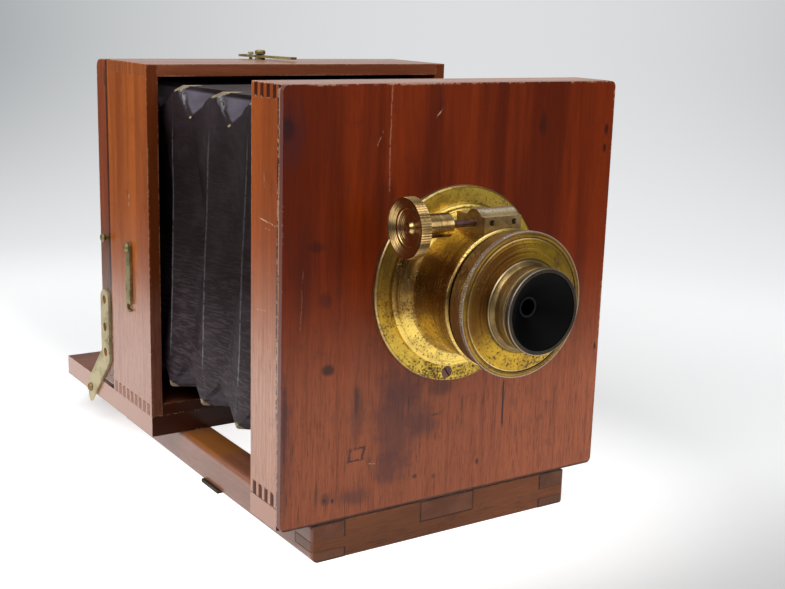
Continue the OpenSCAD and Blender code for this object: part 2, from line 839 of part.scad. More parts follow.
module bellows_front_holder() {
    color([0.3, 0.17, 0.12]) holder(box_w - 2 * wall_t, front_z + wall_t, front_top - wall_t,
        bellows_y0 - holder_t, bellows_front);
}

module bellows_rear_holder() {
    color([0.3, 0.17, 0.12]) holder(rear_w - 2 * rear_wall, board_top + rear_wall,
        rear_top - rear_wall, rear_holder_y, bellows_rear);
}

// Sliding back

cleat_x = bar_w / 2 + cleat_gap;
cleat_screw_len = 14;
cleat_front = max(rear_y + 6, front_y + cross_w + slide_in + 1);
cleat_len = min(70, rear_base_y - cross_w - slide_out - 1 - cleat_front);

module cleat_screw_places() {
    both_sides() for (y = [0.2, 0.8] * cleat_len)
        translate([-cleat_x - cleat_w / 2, cleat_front + y, board_z - cleat_h]) children();
}

module pivot_holes() {
    both_sides() pointing_left([-side_x, pivot_y, pivot_z]) translate([0, 0, -12])
        cylinder(r = pivot_r + 0.02, h = 13, $fn = 32);
}

module sliding_board() {
    color([0.62, 0.37, 0.25]) difference() {
        block([-side_x + board_inset, rear_y, board_z],
            [side_x - board_inset, rear_y + board_len, board_top]);
        cleat_screw_places() screw_hole(wood_screw_r, wood_head_r, cleat_screw_len);
        pivot_holes();
    }
}

module guide_cleats() {
    color([0.55, 0.32, 0.2]) difference() {
        both_sides() block([-cleat_x - cleat_w, cleat_front, board_z - cleat_h],
            [-cleat_x, cleat_front + cleat_len, board_z]);
        cleat_screw_places() screw_hole(wood_screw_r, wood_head_r, cleat_screw_len);
    }
}

module cleat_screws() {
    color([0.4, 0.38, 0.36]) cleat_screw_places()
        wood_screw(wood_screw_r - 0.02, wood_head_r - 0.02, cleat_screw_len - 0.1);
}

module rear_box_left() {
    color([0.74, 0.4, 0.2]) difference() {
        side_wall(rear_w, rear_y, rear_depth, board_top, rear_top, rear_wall);
        hook_screw_hole();
    }
}

module rear_box_right() {
    mirror([1, 0, 0]) rear_box_left();
}

module rear_box_top() {
    color([0.68, 0.37, 0.22]) difference() {
        level_wall(rear_w, rear_y, rear_depth, rear_top - rear_wall, rear_wall);
        latch_screw_hole();
    }
}

module rear_box_bottom() {
    color([0.6, 0.33, 0.2]) level_wall(rear_w, rear_y, rear_depth, board_top, rear_wall);
}

// Focusing screen

opening_x = side_x - stile_w;
opening_z0 = screen_z + stile_w;
opening_z1 = screen_top - stile_w;

module glass_rebate() {
    block([-opening_x - glass_lap, rear_back_y + glass_in, opening_z0 - glass_lap],
        [opening_x + glass_lap, screen_back_y + 1, opening_z1 + glass_lap]);
}

module screen_stile_left() {
    color([0.5, 0.24, 0.15]) difference() {
        block([-side_x, rear_back_y, screen_z], [-opening_x, screen_back_y, screen_top]);
        glass_rebate();
        // Mortises for the tenons of the rails
        for (z = [screen_z, opening_z1]) rail_tenon(z);
        hinge_screw_places() screw_hole(hinge_screw_r, hinge_head_r, hinge_screw_len);
        stud_hole();
    }
}

module screen_stile_right() {
    mirror([1, 0, 0]) screen_stile_left();
}

// A thin tenon that runs through the stile in front of the glass
module rail_tenon(z) {
    shoulder = stile_w / 4;
    block([-side_x - tiny, rear_back_y + 0.3 * glass_in, z + shoulder],
        [side_x + tiny, rear_back_y + 0.9 * glass_in, z + stile_w - shoulder]);
}

module screen_rail(z) {
    difference() {
        union() {
            block([-opening_x, rear_back_y, z], [opening_x, screen_back_y, z + stile_w]);
            intersection() {
                rail_tenon(z);
                block([-side_x, rear_back_y, z], [side_x, screen_back_y, z + stile_w]);
            }
        }
        glass_rebate();
    }
}

module screen_rail_top() {
    color([0.55, 0.28, 0.17]) difference() {
        screen_rail(opening_z1);
        translate([latch_x, latch_stud_y, screen_top - 8]) cylinder(r = latch_stud_r + 0.02, h = 9);
    }
}

module screen_rail_bottom() {
    color([0.55, 0.28, 0.17]) screen_rail(screen_z);
}

glass_y = rear_back_y + glass_in;

module ground_glass() {
    g = glass_lap - glass_gap;
    color([0.85, 0.88, 0.86, 0.6]) block([-opening_x - g, glass_y, opening_z0 - g],
        [opening_x + g, glass_y + glass_t, opening_z1 + g]);
}

module glass_beads() {
    x = opening_x + glass_lap;
    z0 = opening_z0 - glass_lap;
    z1 = opening_z1 + glass_lap;
    y = glass_y + glass_t;
    color([0.45, 0.24, 0.15]) {
        both_sides() block([-x, y, z0], [-x + bead_t, y + bead_t, z1]);
        for (z = [z0, z1 - bead_t])
            block([-x + bead_t, y, z], [x - bead_t, y + bead_t, z + bead_t]);
    }
}

// Hinge straps

hinge_screw_r = 1.4;
hinge_head_r = 2.8;
hinge_screw_len = 13;
hinge_y = rear_back_y + screen_t - hinge_w / 2 - 0.5;

module hinge_screw_places() {
    span = hinge_top - hinge_bend;
    for (z = [hinge_bend + 0.06 * span, hinge_bend + 0.44 * span, hinge_top - 0.15 * span])
        translate([-side_x - hinge_t, hinge_y, z]) rotate([0, 90, 0]) children();
}

// Outline of a strap in Y and Z: a round topped leg, a bend, and an arm back to the pivot
module strap_outline() {
    r = hinge_w / 2;
    arm = [pivot_y - hinge_y, pivot_z - hinge_bend];
    along = arm / norm(arm);
    across = [-along[1], along[0]];
    mitre = r * [1, (1 + along[1]) / along[0]];
    // The end slants from the rear edge to a blunt point beyond the pivot
    end_corners = [[0.1, 1], [0.75, 0.45], [1.3, -0.45], [1.3, -0.8], [1.15, -1]];
    polygon(concat(
        arc(hinge_y, hinge_top - r, r, 180, 0, 24),
        [[hinge_y, hinge_bend] + mitre],
        [for (c = end_corners) [pivot_y, pivot_z] + r * (c[0] * along + c[1] * across)],
        [[hinge_y, hinge_bend] - mitre]
    ));
}

module hinge_strap_left() {
    color([0.76, 0.68, 0.42]) difference() {
        plate_left(side_x, hinge_t) strap_outline();
        hinge_screw_places() screw_hole(hinge_screw_r, hinge_head_r, hinge_screw_len);
        pointing_left([-side_x, pivot_y, pivot_z]) translate([0, 0, -1])
            cylinder(r = pivot_r + pin_gap, h = hinge_t + 2, $fn = 48);
    }
}

module hinge_strap_right() {
    mirror([1, 0, 0]) hinge_strap_left();
}

module hinge_screws() {
    color([0.6, 0.45, 0.2]) both_sides() hinge_screw_places()
        wood_screw(hinge_screw_r - 0.02, hinge_head_r - 0.02, hinge_screw_len - 0.1);
}

// A round headed screw that holds a part turning on its shank
module round_screw(shank, head, grip, len) {
    translate([0, 0, -len]) cylinder(r = shank, h = len + grip + side_gap, $fn = 48);
    difference() {
        translate([0, 0, grip + side_gap]) intersection() {
            cylinder(r = head, h = head, $fn = 48);
            translate([0, 0, -head * 0.35]) sphere(r = head * 1.06, $fn = 48);
        }
        block([-head, -0.35, grip + side_gap + head * 0.4], [head, 0.35, grip + 2 * head]);
    }
}

module hinge_pivots() {
    color([0.72, 0.5, 0.18]) both_sides()
        pointing_left([-side_x, pivot_y, pivot_z]) round_screw(pivot_r, head_r, hinge_t, 11.5);
}

// Studs and side hooks

module stud_hole() {
    pointing_left([-side_x, stud_y, hook_z]) translate([0, 0, -9])
        cylinder(r = stud_r + 0.02, h = 10, $fn = 32);
}

module side_studs() {
    neck = hook_t + 3 * side_gap;
    color([0.7, 0.58, 0.3]) both_sides() pointing_left([-side_x, stud_y, hook_z]) {
        translate([0, 0, -8.5]) cylinder(r = stud_r, h = 8.5 + neck, $fn = 32);
        rotate_extrude() polygon(concat(
            [[0, neck], [head_r * 0.8, neck], [head_r, neck + 0.7], [head_r, neck + 1.3]],
            [[head_r * 0.7, neck + 2.1], [0, neck + 2.4]]
        ));
    }
}

hook_hole_r = 1.5;

module hook_screw_hole() {
    pointing_left([-side_x, hook_y, hook_z]) translate([0, 0, -rear_wall + 0.8])
        cylinder(r = hook_hole_r + 0.02, h = rear_wall + 1, $fn = 32);
}

// Outline of a hook that hangs down: a bar with round ends and a notch in front
module hook_outline() {
    r = hook_w / 2;
    notch = stud_r + side_gap;
    difference() {
        union() {
            circle(r = r);
            translate([-r, -hook_reach]) square([hook_w, hook_reach]);
            translate([0, -hook_reach]) circle(r = r);
        }
        translate([0, -hook_reach]) circle(r = notch);
        translate([-r - 1, -hook_reach - notch]) square([r + 1, 2 * notch]);
        circle(r = hook_hole_r + pin_gap);
    }
}

module side_hook_left() {
    color([0.62, 0.54, 0.34])
        plate_left(side_x + side_gap, hook_t) translate([hook_y, hook_z]) hook_outline();
}

module side_hook_right() {
    mirror([1, 0, 0]) side_hook_left();
}

module hook_screws() {
    color([0.7, 0.58, 0.3]) both_sides() pointing_left([-side_x, hook_y, hook_z])
        round_screw(hook_hole_r, head_r, hook_t + side_gap, rear_wall - 1);
}

// Top latch

latch_stud_r = 1.1;
latch_pin_r = 1.6;

module latch_screw_hole() {
    translate([latch_x, latch_y, rear_top - rear_wall + 1])
        cylinder(r = latch_pin_r + 0.02, h = rear_wall);
}

// The bar lies along Y when it is shut, its tail over the screen frame
module top_latch() {
    notch = latch_stud_r + side_gap;
    tail = latch_reach + 3.5;
    color([0.7, 0.6, 0.34]) translate([latch_x, latch_y, latch_z]) rotate([0, 0, latch_angle])
        linear_extrude(latch_t) difference() {
            union() {
                translate([-latch_half, -latch_front]) square([2 * latch_half, latch_front + tail]);
                circle(r = latch_half + 0.8);
            }
            circle(r = latch_pin_r + pin_gap);
            translate([0, latch_reach]) circle(r = notch);
            translate([0, latch_reach - notch]) square([latch_half + 1, 2 * notch]);
        }
}

module latch_knob() {
    top = latch_z + latch_t + side_gap;
    color([0.66, 0.56, 0.36]) translate([latch_x, latch_y, 0]) {
        translate([0, 0, rear_top - rear_wall + 1.2])
            cylinder(r = latch_pin_r, h = top - rear_top + rear_wall - 1.2);
        translate([0, 0, rear_top]) cylinder(r = latch_half + 0.6, h = latch_washer_t);
        translate([0, 0, top]) rotate_extrude() polygon([
            [0, 0], [2.6, 0], [3.3, 0.7], [3.3, 2.1], [2.7, 2.8], [0, 3.1]
        ]);
    }
}

module latch_stud() {
    top = latch_z + latch_t + side_gap;
    color([0.7, 0.58, 0.3]) translate([latch_x, latch_stud_y, screen_top - 7.5]) {
        cylinder(r = latch_stud_r, h = top - screen_top + 7.5 + tiny, $fn = 32);
        translate([0, 0, top - screen_top + 7.5]) cylinder(r1 = 2.1, r2 = 1.5, h = 1.2, $fn = 32);
    }
}

base_rail_left();
base_rail_right();
base_front_rail();
base_rear_rail();
centre_bar();
tripod_strap();
tripod_strap_screws();
front_bottom_board();
front_board_screws();
front_box_left();
front_box_right();
front_box_top();
front_box_bottom();
lens_panel();
lens_flange();
lens_flange_screws();
lens_barrel();
pinion_housing();
housing_screws();
focus_pinion();
focus_knob();
lens_tube();
focus_rack();
front_ring();
lens_hood();
stop_cone();
lens_cell();
lens_glass();
bellows();
bellows_front_holder();
bellows_rear_holder();
sliding_board();
guide_cleats();
cleat_screws();
rear_box_left();
rear_box_right();
rear_box_top();
rear_box_bottom();
screen_stile_left();
screen_stile_right();
screen_rail_top();
screen_rail_bottom();
ground_glass();
glass_beads();
hinge_strap_left();
hinge_strap_right();
hinge_screws();
hinge_pivots();
side_studs();
side_hook_left();
side_hook_right();
hook_screws();
top_latch();
latch_knob();
latch_stud();
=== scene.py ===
import json
import math
import bpy
from mathutils import Matrix, Vector, noise


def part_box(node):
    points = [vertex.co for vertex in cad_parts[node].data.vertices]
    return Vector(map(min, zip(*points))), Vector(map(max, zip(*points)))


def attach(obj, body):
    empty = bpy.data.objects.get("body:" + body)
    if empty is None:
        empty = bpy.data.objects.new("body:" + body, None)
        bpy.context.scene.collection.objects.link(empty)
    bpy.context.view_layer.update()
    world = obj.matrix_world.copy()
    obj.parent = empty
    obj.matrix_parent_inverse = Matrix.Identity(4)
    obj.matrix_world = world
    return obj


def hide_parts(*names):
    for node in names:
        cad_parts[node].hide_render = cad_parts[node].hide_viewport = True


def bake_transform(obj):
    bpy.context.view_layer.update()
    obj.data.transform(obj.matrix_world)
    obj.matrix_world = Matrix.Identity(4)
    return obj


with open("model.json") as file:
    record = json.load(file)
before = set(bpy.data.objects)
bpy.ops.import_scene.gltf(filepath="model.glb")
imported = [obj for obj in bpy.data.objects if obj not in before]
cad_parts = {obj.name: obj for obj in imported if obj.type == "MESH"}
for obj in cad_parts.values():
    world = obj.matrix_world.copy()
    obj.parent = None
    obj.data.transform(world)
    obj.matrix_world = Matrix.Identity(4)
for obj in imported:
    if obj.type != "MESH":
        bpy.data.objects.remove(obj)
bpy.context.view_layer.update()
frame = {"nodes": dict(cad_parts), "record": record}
record = frame["record"]
bodyOf = {node: body for body, nodes in record["behaviour"]["bodies"].items() for node in nodes}
mm = 0.001


def tone(red, green, blue):
    # a screen colour from 0 to 255 as the light values that the shader wants
    def light(value):
        value = value / 255
        return value / 12.92 if value <= 0.04045 else ((value + 0.055) / 1.055) ** 2.4
    return (light(red), light(green), light(blue), 1.0)


print("stage: camera and studio")

viewpoint = {
    "place": (-0.3650, -0.6078, 0.2712),
    "right": (0.8367, -0.5468, 0.0284),
    "up": (0.1015, 0.2058, 0.9733),
    "lens": 56.73,
}
bpy.ops.object.camera_add()
camera = bpy.context.object
camera.name = "camera"
right, up = Vector(viewpoint["right"]), Vector(viewpoint["up"])
facing = Matrix((right, up, right.cross(up))).transposed().to_4x4()
camera.matrix_world = Matrix.Translation(viewpoint["place"]) @ facing
camera.data.lens = viewpoint["lens"]
camera.data.sensor_width = 36
camera.data.clip_start = 0.01
bpy.context.scene.camera = camera
bpy.context.scene.view_settings.view_transform = "Standard"


# wraps a socket, so that shader maths can be written as plain sums
class Wire:
    def __init__(self, paint, node, output=0):
        self.paint, self.node, self.socket = paint, node, node.outputs[output]

    def other(self, output):
        return Wire(self.paint, self.node, output)

    def math(self, operation, *values, first=None):
        inputs = [self, *values] if first is None else [first, self]
        return self.paint.add("Math", {"operation": operation}, dict(enumerate(inputs)))

    def __add__(self, value):
        return self.math("ADD", value)

    def __sub__(self, value):
        return self.math("SUBTRACT", value)

    def __mul__(self, value):
        return self.math("MULTIPLY", value)

    def __truediv__(self, value):
        return self.math("DIVIDE", value)

    def __radd__(self, value):
        return self.math("ADD", value)

    def __rmul__(self, value):
        return self.math("MULTIPLY", value)

    def __rsub__(self, value):
        return self.math("SUBTRACT", first=value)

    def __rtruediv__(self, value):
        return self.math("DIVIDE", first=value)

    def __abs__(self):
        return self.math("ABSOLUTE")

    def least(self, value):
        return self.math("MINIMUM", value)

    def most(self, value):
        return self.math("MAXIMUM", value)

    def root(self):
        return self.math("SQRT")

    def rise(self, low, high):
        # 0 below low, 1 above high and a smooth step between them
        return self.paint.add("MapRange", {"interpolation_type": "SMOOTHSTEP"},
                              {"Value": self, "From Min": low, "From Max": high})

    def fall(self, low, high):
        return 1 - self.rise(low, high)


class Paint:
    def __init__(self, name, owner=None):
        self.material = owner or bpy.data.materials.new(name)
        self.material.use_nodes = True
        self.tree = self.material.node_tree
        self.tree.nodes.clear()

    def add(self, kind, settings=None, inputs=None, output=0):
        node = self.tree.nodes.new("ShaderNode" + kind)
        for name, value in (settings or {}).items():
            setattr(node, name, value)
        for key, value in (inputs or {}).items():
            if isinstance(value, Wire):
                self.tree.links.new(value.socket, node.inputs[key])
            else:
                node.inputs[key].default_value = value
        return Wire(self, node, output)

    def place(self, scale=(1, 1, 1), start=(0, 0, 0)):
        # object coordinates in millimetres, stretched and moved
        spot = self.add("TexCoord", output="Object")
        size = [1000 * value for value in scale]
        return self.add("Mapping", None, {"Vector": spot, "Scale": size, "Location": start})

    def split(self, vector):
        parts = self.add("SeparateXYZ", None, {0: vector})
        return parts, parts.other(1), parts.other(2)

    def axes(self):
        return self.split(self.place())

    def noise(self, vector, detail=2.0, roughness=0.5, distortion=0.0):
        return self.add("TexNoise", None, {"Vector": vector, "Scale": 1.0, "Detail": detail,
                                           "Roughness": roughness, "Distortion": distortion})

    def cloud(self, scale, detail=2.0, roughness=0.5, start=0.0):
        # noise of the same size in every direction
        return self.noise(self.place((scale,) * 3, (start,) * 3), detail, roughness)

    def mix(self, factor, under, over, blend="MIX"):
        return self.add("Mix", {"data_type": "RGBA", "blend_type": blend},
                        {0: factor, 6: under, 7: over}, output=2)

    def dim(self, color, by):
        return self.mix(1.0, color, by, blend="MULTIPLY")

    def bump(self, height, strength, distance, normal=None):
        inputs = {"Height": height, "Strength": strength, "Distance": distance}
        if normal:
            inputs["Normal"] = normal
        return self.add("Bump", None, inputs)

    def finish(self, inputs):
        return self.close(self.add("BsdfPrincipled", None, inputs))

    def close(self, shader, kind="OutputMaterial"):
        end = self.tree.nodes.new("ShaderNode" + kind)
        self.tree.links.new(shader.socket, end.inputs["Surface"])
        return self.material


def radius(across, upward):
    # how far a place lies from the middle of a circle
    return (across * across + upward * upward).root()


def pickOnly(*pieces):
    bpy.ops.object.select_all(action="DESELECT")
    for piece in pieces:
        piece.select_set(True)
    bpy.context.view_layer.objects.active = pieces[0]


# floor and backdrop in one sweep, white near the object and greyer high up and to the sides, the grey
# being painted shade on the backdrop
sweep = {
    "half": 4.0, "turn": -33.6, "flat": 1.35, "height": 2.2, "bend": 0.7,
    "forward": (0.5526, 0.8334), "paper": 0.61, "meet": (520, 820),
    "grey": 0.05, "greyest": 0.56, "climb": (-0.31, -0.02),
    "paperGlow": 0.34, "glowNear": 0.57, "glowLeft": 0.42, "glowFront": 0.5, "glowFar": 0.06,
}


def buildSweep():
    bpy.ops.mesh.primitive_plane_add(size=2)
    floor = bpy.context.object
    floor.name = "floor"
    pickOnly(floor)
    bpy.ops.object.mode_set(mode="EDIT")
    bpy.ops.transform.resize(value=(sweep["half"], sweep["half"], 1))
    bpy.ops.transform.translate(value=(0, sweep["flat"] + sweep["bend"] - sweep["half"], 0))
    bpy.ops.mesh.select_all(action="DESELECT")
    bpy.ops.object.mode_set(mode="OBJECT")
    for edge in floor.data.edges:
        ends = [floor.data.vertices[i].co.y for i in edge.vertices]
        edge.select = min(ends) > 0
    bpy.ops.object.mode_set(mode="EDIT")
    bpy.ops.mesh.select_mode(type="EDGE")
    bpy.ops.mesh.extrude_region_move(TRANSFORM_OT_translate={"value": (0, 0, sweep["height"])})
    bpy.ops.object.mode_set(mode="OBJECT")
    for edge in floor.data.edges:
        ends = [floor.data.vertices[i].co for i in edge.vertices]
        edge.select = all(abs(e.y - ends[0].y) < 1e-4 and e.z < 0.01 and e.y > 0 for e in ends)
    bpy.ops.object.mode_set(mode="EDIT")
    bpy.ops.mesh.bevel(offset=sweep["bend"], segments=24)
    bpy.ops.mesh.select_all(action="SELECT")
    bpy.ops.transform.rotate(
        value=-math.radians(sweep["turn"]), orient_axis="Z", center_override=(0, 0, 0))
    bpy.ops.object.mode_set(mode="OBJECT")
    bpy.ops.object.shade_smooth()
    floor.data.materials.append(sweepPaint())


def sweepPaint():
    paint = Paint("sweepWhite")
    x, y, z = paint.axes()
    white = (1, 1, 1, 1)

    def shine(color, strength):
        return paint.add("Emission", None, {"Color": color, "Strength": strength})

    def either(factor, first, second):
        return paint.add("MixShader", None, {0: factor, 1: first, 2: second})

    # how far a place lies from the middle of the picture, as the camera sees it
    eyeX, eyeY, eyeZ = [1000 * value for value in viewpoint["place"]]
    ahead, across = sweep["forward"]
    depth = (x - eyeX) * ahead + (y - eyeY) * across
    side = ((x - eyeX) * across - (y - eyeY) * ahead) / depth
    climb = ((z - eyeZ) / depth).rise(*sweep["climb"])
    grey = sweep["grey"] + climb * (0.23 + 2.1 * side * side - 0.27 * side).least(sweep["greyest"])
    shown = paint.mix(grey, (0.985, 0.995, 1, 1), (0, 0.02, 0.04, 1))
    away = radius(x, y + 20)
    leftward = 1 + 0.35 * (0 - x).rise(60, 260) * y.rise(-250, 50)
    glow = 0.07 + 1.3 * leftward * away.fall(260, 1050) + 0.62 * z.rise(60, 700)
    # painted light and shade on the floor: a glow that lightens it near the object, far off and to the
    # left, and is taken away in front
    paperGlow = sweep["paperGlow"] + sweep["glowNear"] * away.fall(80, 240) + sweep["glowFar"] * away.rise(320, 600)
    paperGlow = paperGlow + sweep["glowLeft"] * (0 - x).rise(40, 160) - sweep["glowFront"] * (0 - y).rise(110, 330)
    rays = paint.add("LightPath")
    mirrored = rays.other("Is Glossy Ray").most(rays.other("Is Transmission Ray"))
    lit = paint.add("BsdfDiffuse", None, {"Color": (sweep["paper"],) * 3 + (1,)})
    near = paint.add("AddShader", None, {0: lit, 1: shine(white, paperGlow)})
    seen = either(away.rise(*sweep["meet"]), near, shine(shown, 1.0))
    seen = either(rays.other("Is Camera Ray"), lit, seen)
    return paint.close(either(mirrored, seen, shine(white, glow)))


buildSweep()

lamps = {
    "keyLamp": {"place": (-0.9, -0.5, 1.25), "aim": (0, 0, 0.1), "size": 0.9, "power": 12},
    "sideLamp": {"place": (-1.5, 0.5, 0.7), "aim": (0, 0, 0.12), "size": 0.9, "power": 6},
    "frontLamp": {"place": (0.6, -1.5, 0.8), "aim": (0, 0, 0.1), "size": 1.0, "power": 7.5},
    "topLamp": {"place": (0.1, 0.3, 1.5), "aim": (0, 0, 0), "size": 1.2, "power": 9},
}
for name, lamp in lamps.items():
    bpy.ops.object.light_add(type="AREA", location=lamp["place"])
    light = bpy.context.object
    light.name = name
    light.data.size = lamp["size"]
    light.data.energy = lamp["power"]
    aim = Vector(lamp["aim"]) - Vector(lamp["place"])
    light.rotation_euler = aim.to_track_quat("-Z", "Y").to_euler()


# an even fill, with a dark room in front of the object for what is mirrored
sky = {"tint": tone(222, 226, 230), "even": 0.36, "mirrored": 0.035, "overhead": 1.15, "shown": 0.9}


def buildWorld():
    world = bpy.data.worlds.new("studio")
    bpy.context.scene.world = world
    paint = Paint("studio", world)
    x, _, z = paint.split(paint.add("TexCoord", output="Generated"))
    overhead = sky["mirrored"] + sky["overhead"] * (x * -0.3 + z * 0.95).rise(0.3, 0.85)
    rays = paint.add("LightPath")
    mirrored, seen = rays.other("Is Glossy Ray"), rays.other("Is Camera Ray")
    strength = sky["even"] + mirrored * (overhead - sky["even"]) + seen * sky["shown"]
    light = paint.add("Background", None, {"Color": sky["tint"], "Strength": strength})
    paint.close(light, "OutputWorld")


buildWorld()


print("stage: wood finishes")

mahogany = {
    "lensPanel": {
        "grain": "Z", "light": tone(132, 46, 6), "dark": tone(96, 30, 4), "streak": tone(62, 22, 11),
        "low": tone(162, 86, 50), "lowerBlend": (60, 152), "seed": 3, "rough": 0.34, "wear": 0.8, "coat": 0.4,
        "underShadow": 0.85, "endTone": tone(108, 62, 56), "lit": 0.35,
        "rubbed": -99, "rubbedBack": (-113.6, -112.8),
    },
    "frontSide": {
        "grain": "Z", "light": tone(164, 80, 26), "dark": tone(134, 62, 20), "streak": tone(104, 48, 20),
        "low": tone(188, 130, 100), "lowerBlend": (85, 165), "seed": 11, "rough": 0.36, "wear": 0.7,
        "front": tone(150, 120, 110), "frontSeam": 0.85, "seamPale": 0.8,
    },
    "frontTop": {
        "grain": "X", "light": tone(182, 126, 98), "dark": tone(156, 98, 70), "streak": tone(120, 66, 44),
        "seed": 17, "rough": 0.4, "wear": 1.0, "front": tone(150, 120, 110),
        "ends": tone(110, 68, 54), "endDull": 0.85,
    },
    "rearSide": {
        "grain": "Z", "light": tone(176, 92, 34), "dark": tone(144, 70, 24), "streak": tone(104, 50, 22),
        "low": tone(176, 118, 90), "lowerBlend": (84, 122), "seed": 23, "rough": 0.36, "wear": 0.3,
        "front": tone(176, 166, 176), "backSeam": 0.8,
    },
    "rearTop": {
        "grain": "X", "light": tone(170, 118, 94), "dark": tone(146, 90, 66), "streak": tone(118, 64, 44),
        "seed": 31, "rough": 0.4, "wear": 0.3, "front": tone(222, 190, 160),
        "endTone": tone(148, 80, 38),
    },
    "rearBottom": {
        "grain": "X", "light": tone(112, 62, 40), "dark": tone(88, 46, 30), "streak": tone(66, 34, 24),
        "seed": 33, "rough": 0.5, "wear": 0.15, "coat": 0.3, "front": tone(150, 132, 120),
        "endTone": tone(158, 104, 80),
    },
    "screenFrame": {
        "grain": "Z", "light": tone(146, 72, 40), "dark": tone(118, 54, 28), "streak": tone(78, 34, 20),
        "low": tone(108, 68, 50), "lowerBlend": (110, 150), "seed": 37, "rough": 0.4, "wear": 0.8, "coat": 0.55,
        "frontSeam": 0.85, "seamWide": 1.5,
    },
    "screenRail": {
        "grain": "X", "light": tone(122, 60, 36), "dark": tone(98, 44, 24), "streak": tone(78, 34, 20),
        "low": tone(132, 74, 52), "lowerBlend": (90, 180), "seed": 41, "rough": 0.4, "wear": 0.4,
    },
    "rail": {
        "grain": "Y", "light": tone(158, 100, 74), "dark": tone(130, 78, 54), "streak": tone(98, 54, 38),
        "low": tone(150, 98, 74), "lowerBlend": (0, 20), "seed": 43, "rough": 0.42, "wear": 0.3,
        "front": tone(206, 204, 200), "outline": 0.85, "stain": (17, 30, tone(170, 106, 46)),
    },
    "crossRail": {
        "grain": "X", "light": tone(138, 84, 54), "dark": tone(112, 66, 40), "streak": tone(66, 36, 24),
        "low": tone(124, 76, 50), "lowerBlend": (0, 20), "seed": 47, "rough": 0.5, "wear": 0.12, "coat": 0.6,
        "front": tone(242, 240, 240), "lit": 0.5,
    },
    "board": {
        "grain": "X", "light": tone(150, 92, 68), "dark": tone(124, 72, 50), "streak": tone(92, 50, 34),
        "low": tone(150, 96, 72), "lowerBlend": (10, 30), "seed": 53, "rough": 0.42, "wear": 0.5, "coat": 0.8,
        "front": tone(130, 114, 104), "topTone": tone(206, 196, 180), "endTone": tone(182, 130, 106),
    },
    "inside": {
        "grain": "Z", "light": tone(48, 30, 22), "dark": tone(34, 22, 17), "streak": tone(24, 16, 14),
        "seed": 59, "rough": 0.7, "wear": 0.0, "coat": 0.1,
    },
}
woodTones = {
    "grime": tone(66, 34, 28), "dirt": tone(38, 21, 20), "smear": tone(70, 34, 36),
    "scratch": tone(214, 178, 146), "edgeDirtAndShadowTone": tone(40, 26, 24), "bare": tone(204, 160, 124),
    "seam": tone(40, 22, 18), "glue": tone(196, 156, 122), "backSeam": tone(44, 24, 18),
    "underShadow": tone(30, 16, 14),
}
edgeReach = 1.3  # how far wear comes in from an edge, in mm


def edgeCloseness(x, y, z, box, reach):
    # 1 on the edges of a board and 0 further than reach from them, in millimetres
    low, high = [corner * 1000 for corner in box]
    gaps = [(value - a).least(b - value) for value, a, b in zip((x, y, z), low, high)]
    inner = gaps[0].least(gaps[1]).most(gaps[0].most(gaps[1]).least(gaps[2]))
    return inner.fall(0, reach)


def markWood(paint, color, marks, x, y, z, grime, bands, fibres):
    # dark spots, squares and cracks, then smears and pale scratches
    dirt = grime.rise(0.72, 0.80) * 0.3
    for across, height, wide, tall, depth in marks.get("spots", ()):
        reach = radius((x - across) / wide, (z - height) / tall)
        spot = (reach + (grime - 0.5) * 1.5 + (fibres - 0.5) * 0.6).fall(0.4, 1.25) * depth
        dirt = dirt.most(spot)
    for across, height, half, depth in marks.get("squares", ()):
        ragged = paint.cloud(0.35, 3.0)
        rim = abs(abs(x - across + (height - z) * 0.2).most(abs(z - height) * 1.3) - half)
        dirt = dirt.most((rim + (ragged - 0.5) * 3).fall(0.3, 1.1) * ragged.rise(0.30, 0.42) * depth)
    for across, bottom, top, wide, depth in marks.get("cracks", ()):
        wander = (paint.noise(paint.place((0.02, 0.02, 0.05), (across, 3, 1))) - 0.5) * 3
        line = abs(x - across + wander).fall(wide * 0.5, wide) * z.rise(bottom, bottom + 6)
        dirt = dirt.most(line * z.fall(top - 3, top) * depth)
    color = paint.mix(dirt, color, woodTones["dirt"])
    for across, height, wide, tall, depth in marks.get("smears", ()):
        reach = radius((x - across) / wide, (z - height) / tall)
        smear = reach + (grime - 0.5) * 1.6 + (bands - 0.5) * 1.2 + (fibres - 0.5) * 0.5
        color = paint.mix(smear.fall(0.2, 1.3) * depth, color, woodTones["smear"])
    over = y if marks.get("side") else x
    for fromX, fromZ, toX, toZ, wide, depth in marks.get("scratches", ()):
        length = math.hypot(toX - fromX, toZ - fromZ)
        alongX, alongZ = (toX - fromX) / length, (toZ - fromZ) / length
        along = (over - fromX) * alongX + (z - fromZ) * alongZ
        off = abs((over - fromX) * alongZ - (z - fromZ) * alongX + (grime - 0.5) * 2.0)
        line = off.fall(wide * 0.4, wide) * along.rise(0, 2) * along.fall(length - 2, length)
        broken = paint.noise(paint.place((0.5, 0.5, 0.5), (fromX, 1, 2)), 3.0).rise(0.40, 0.52)
        color = paint.mix(line * broken * depth, color, woodTones["scratch"])
    return color


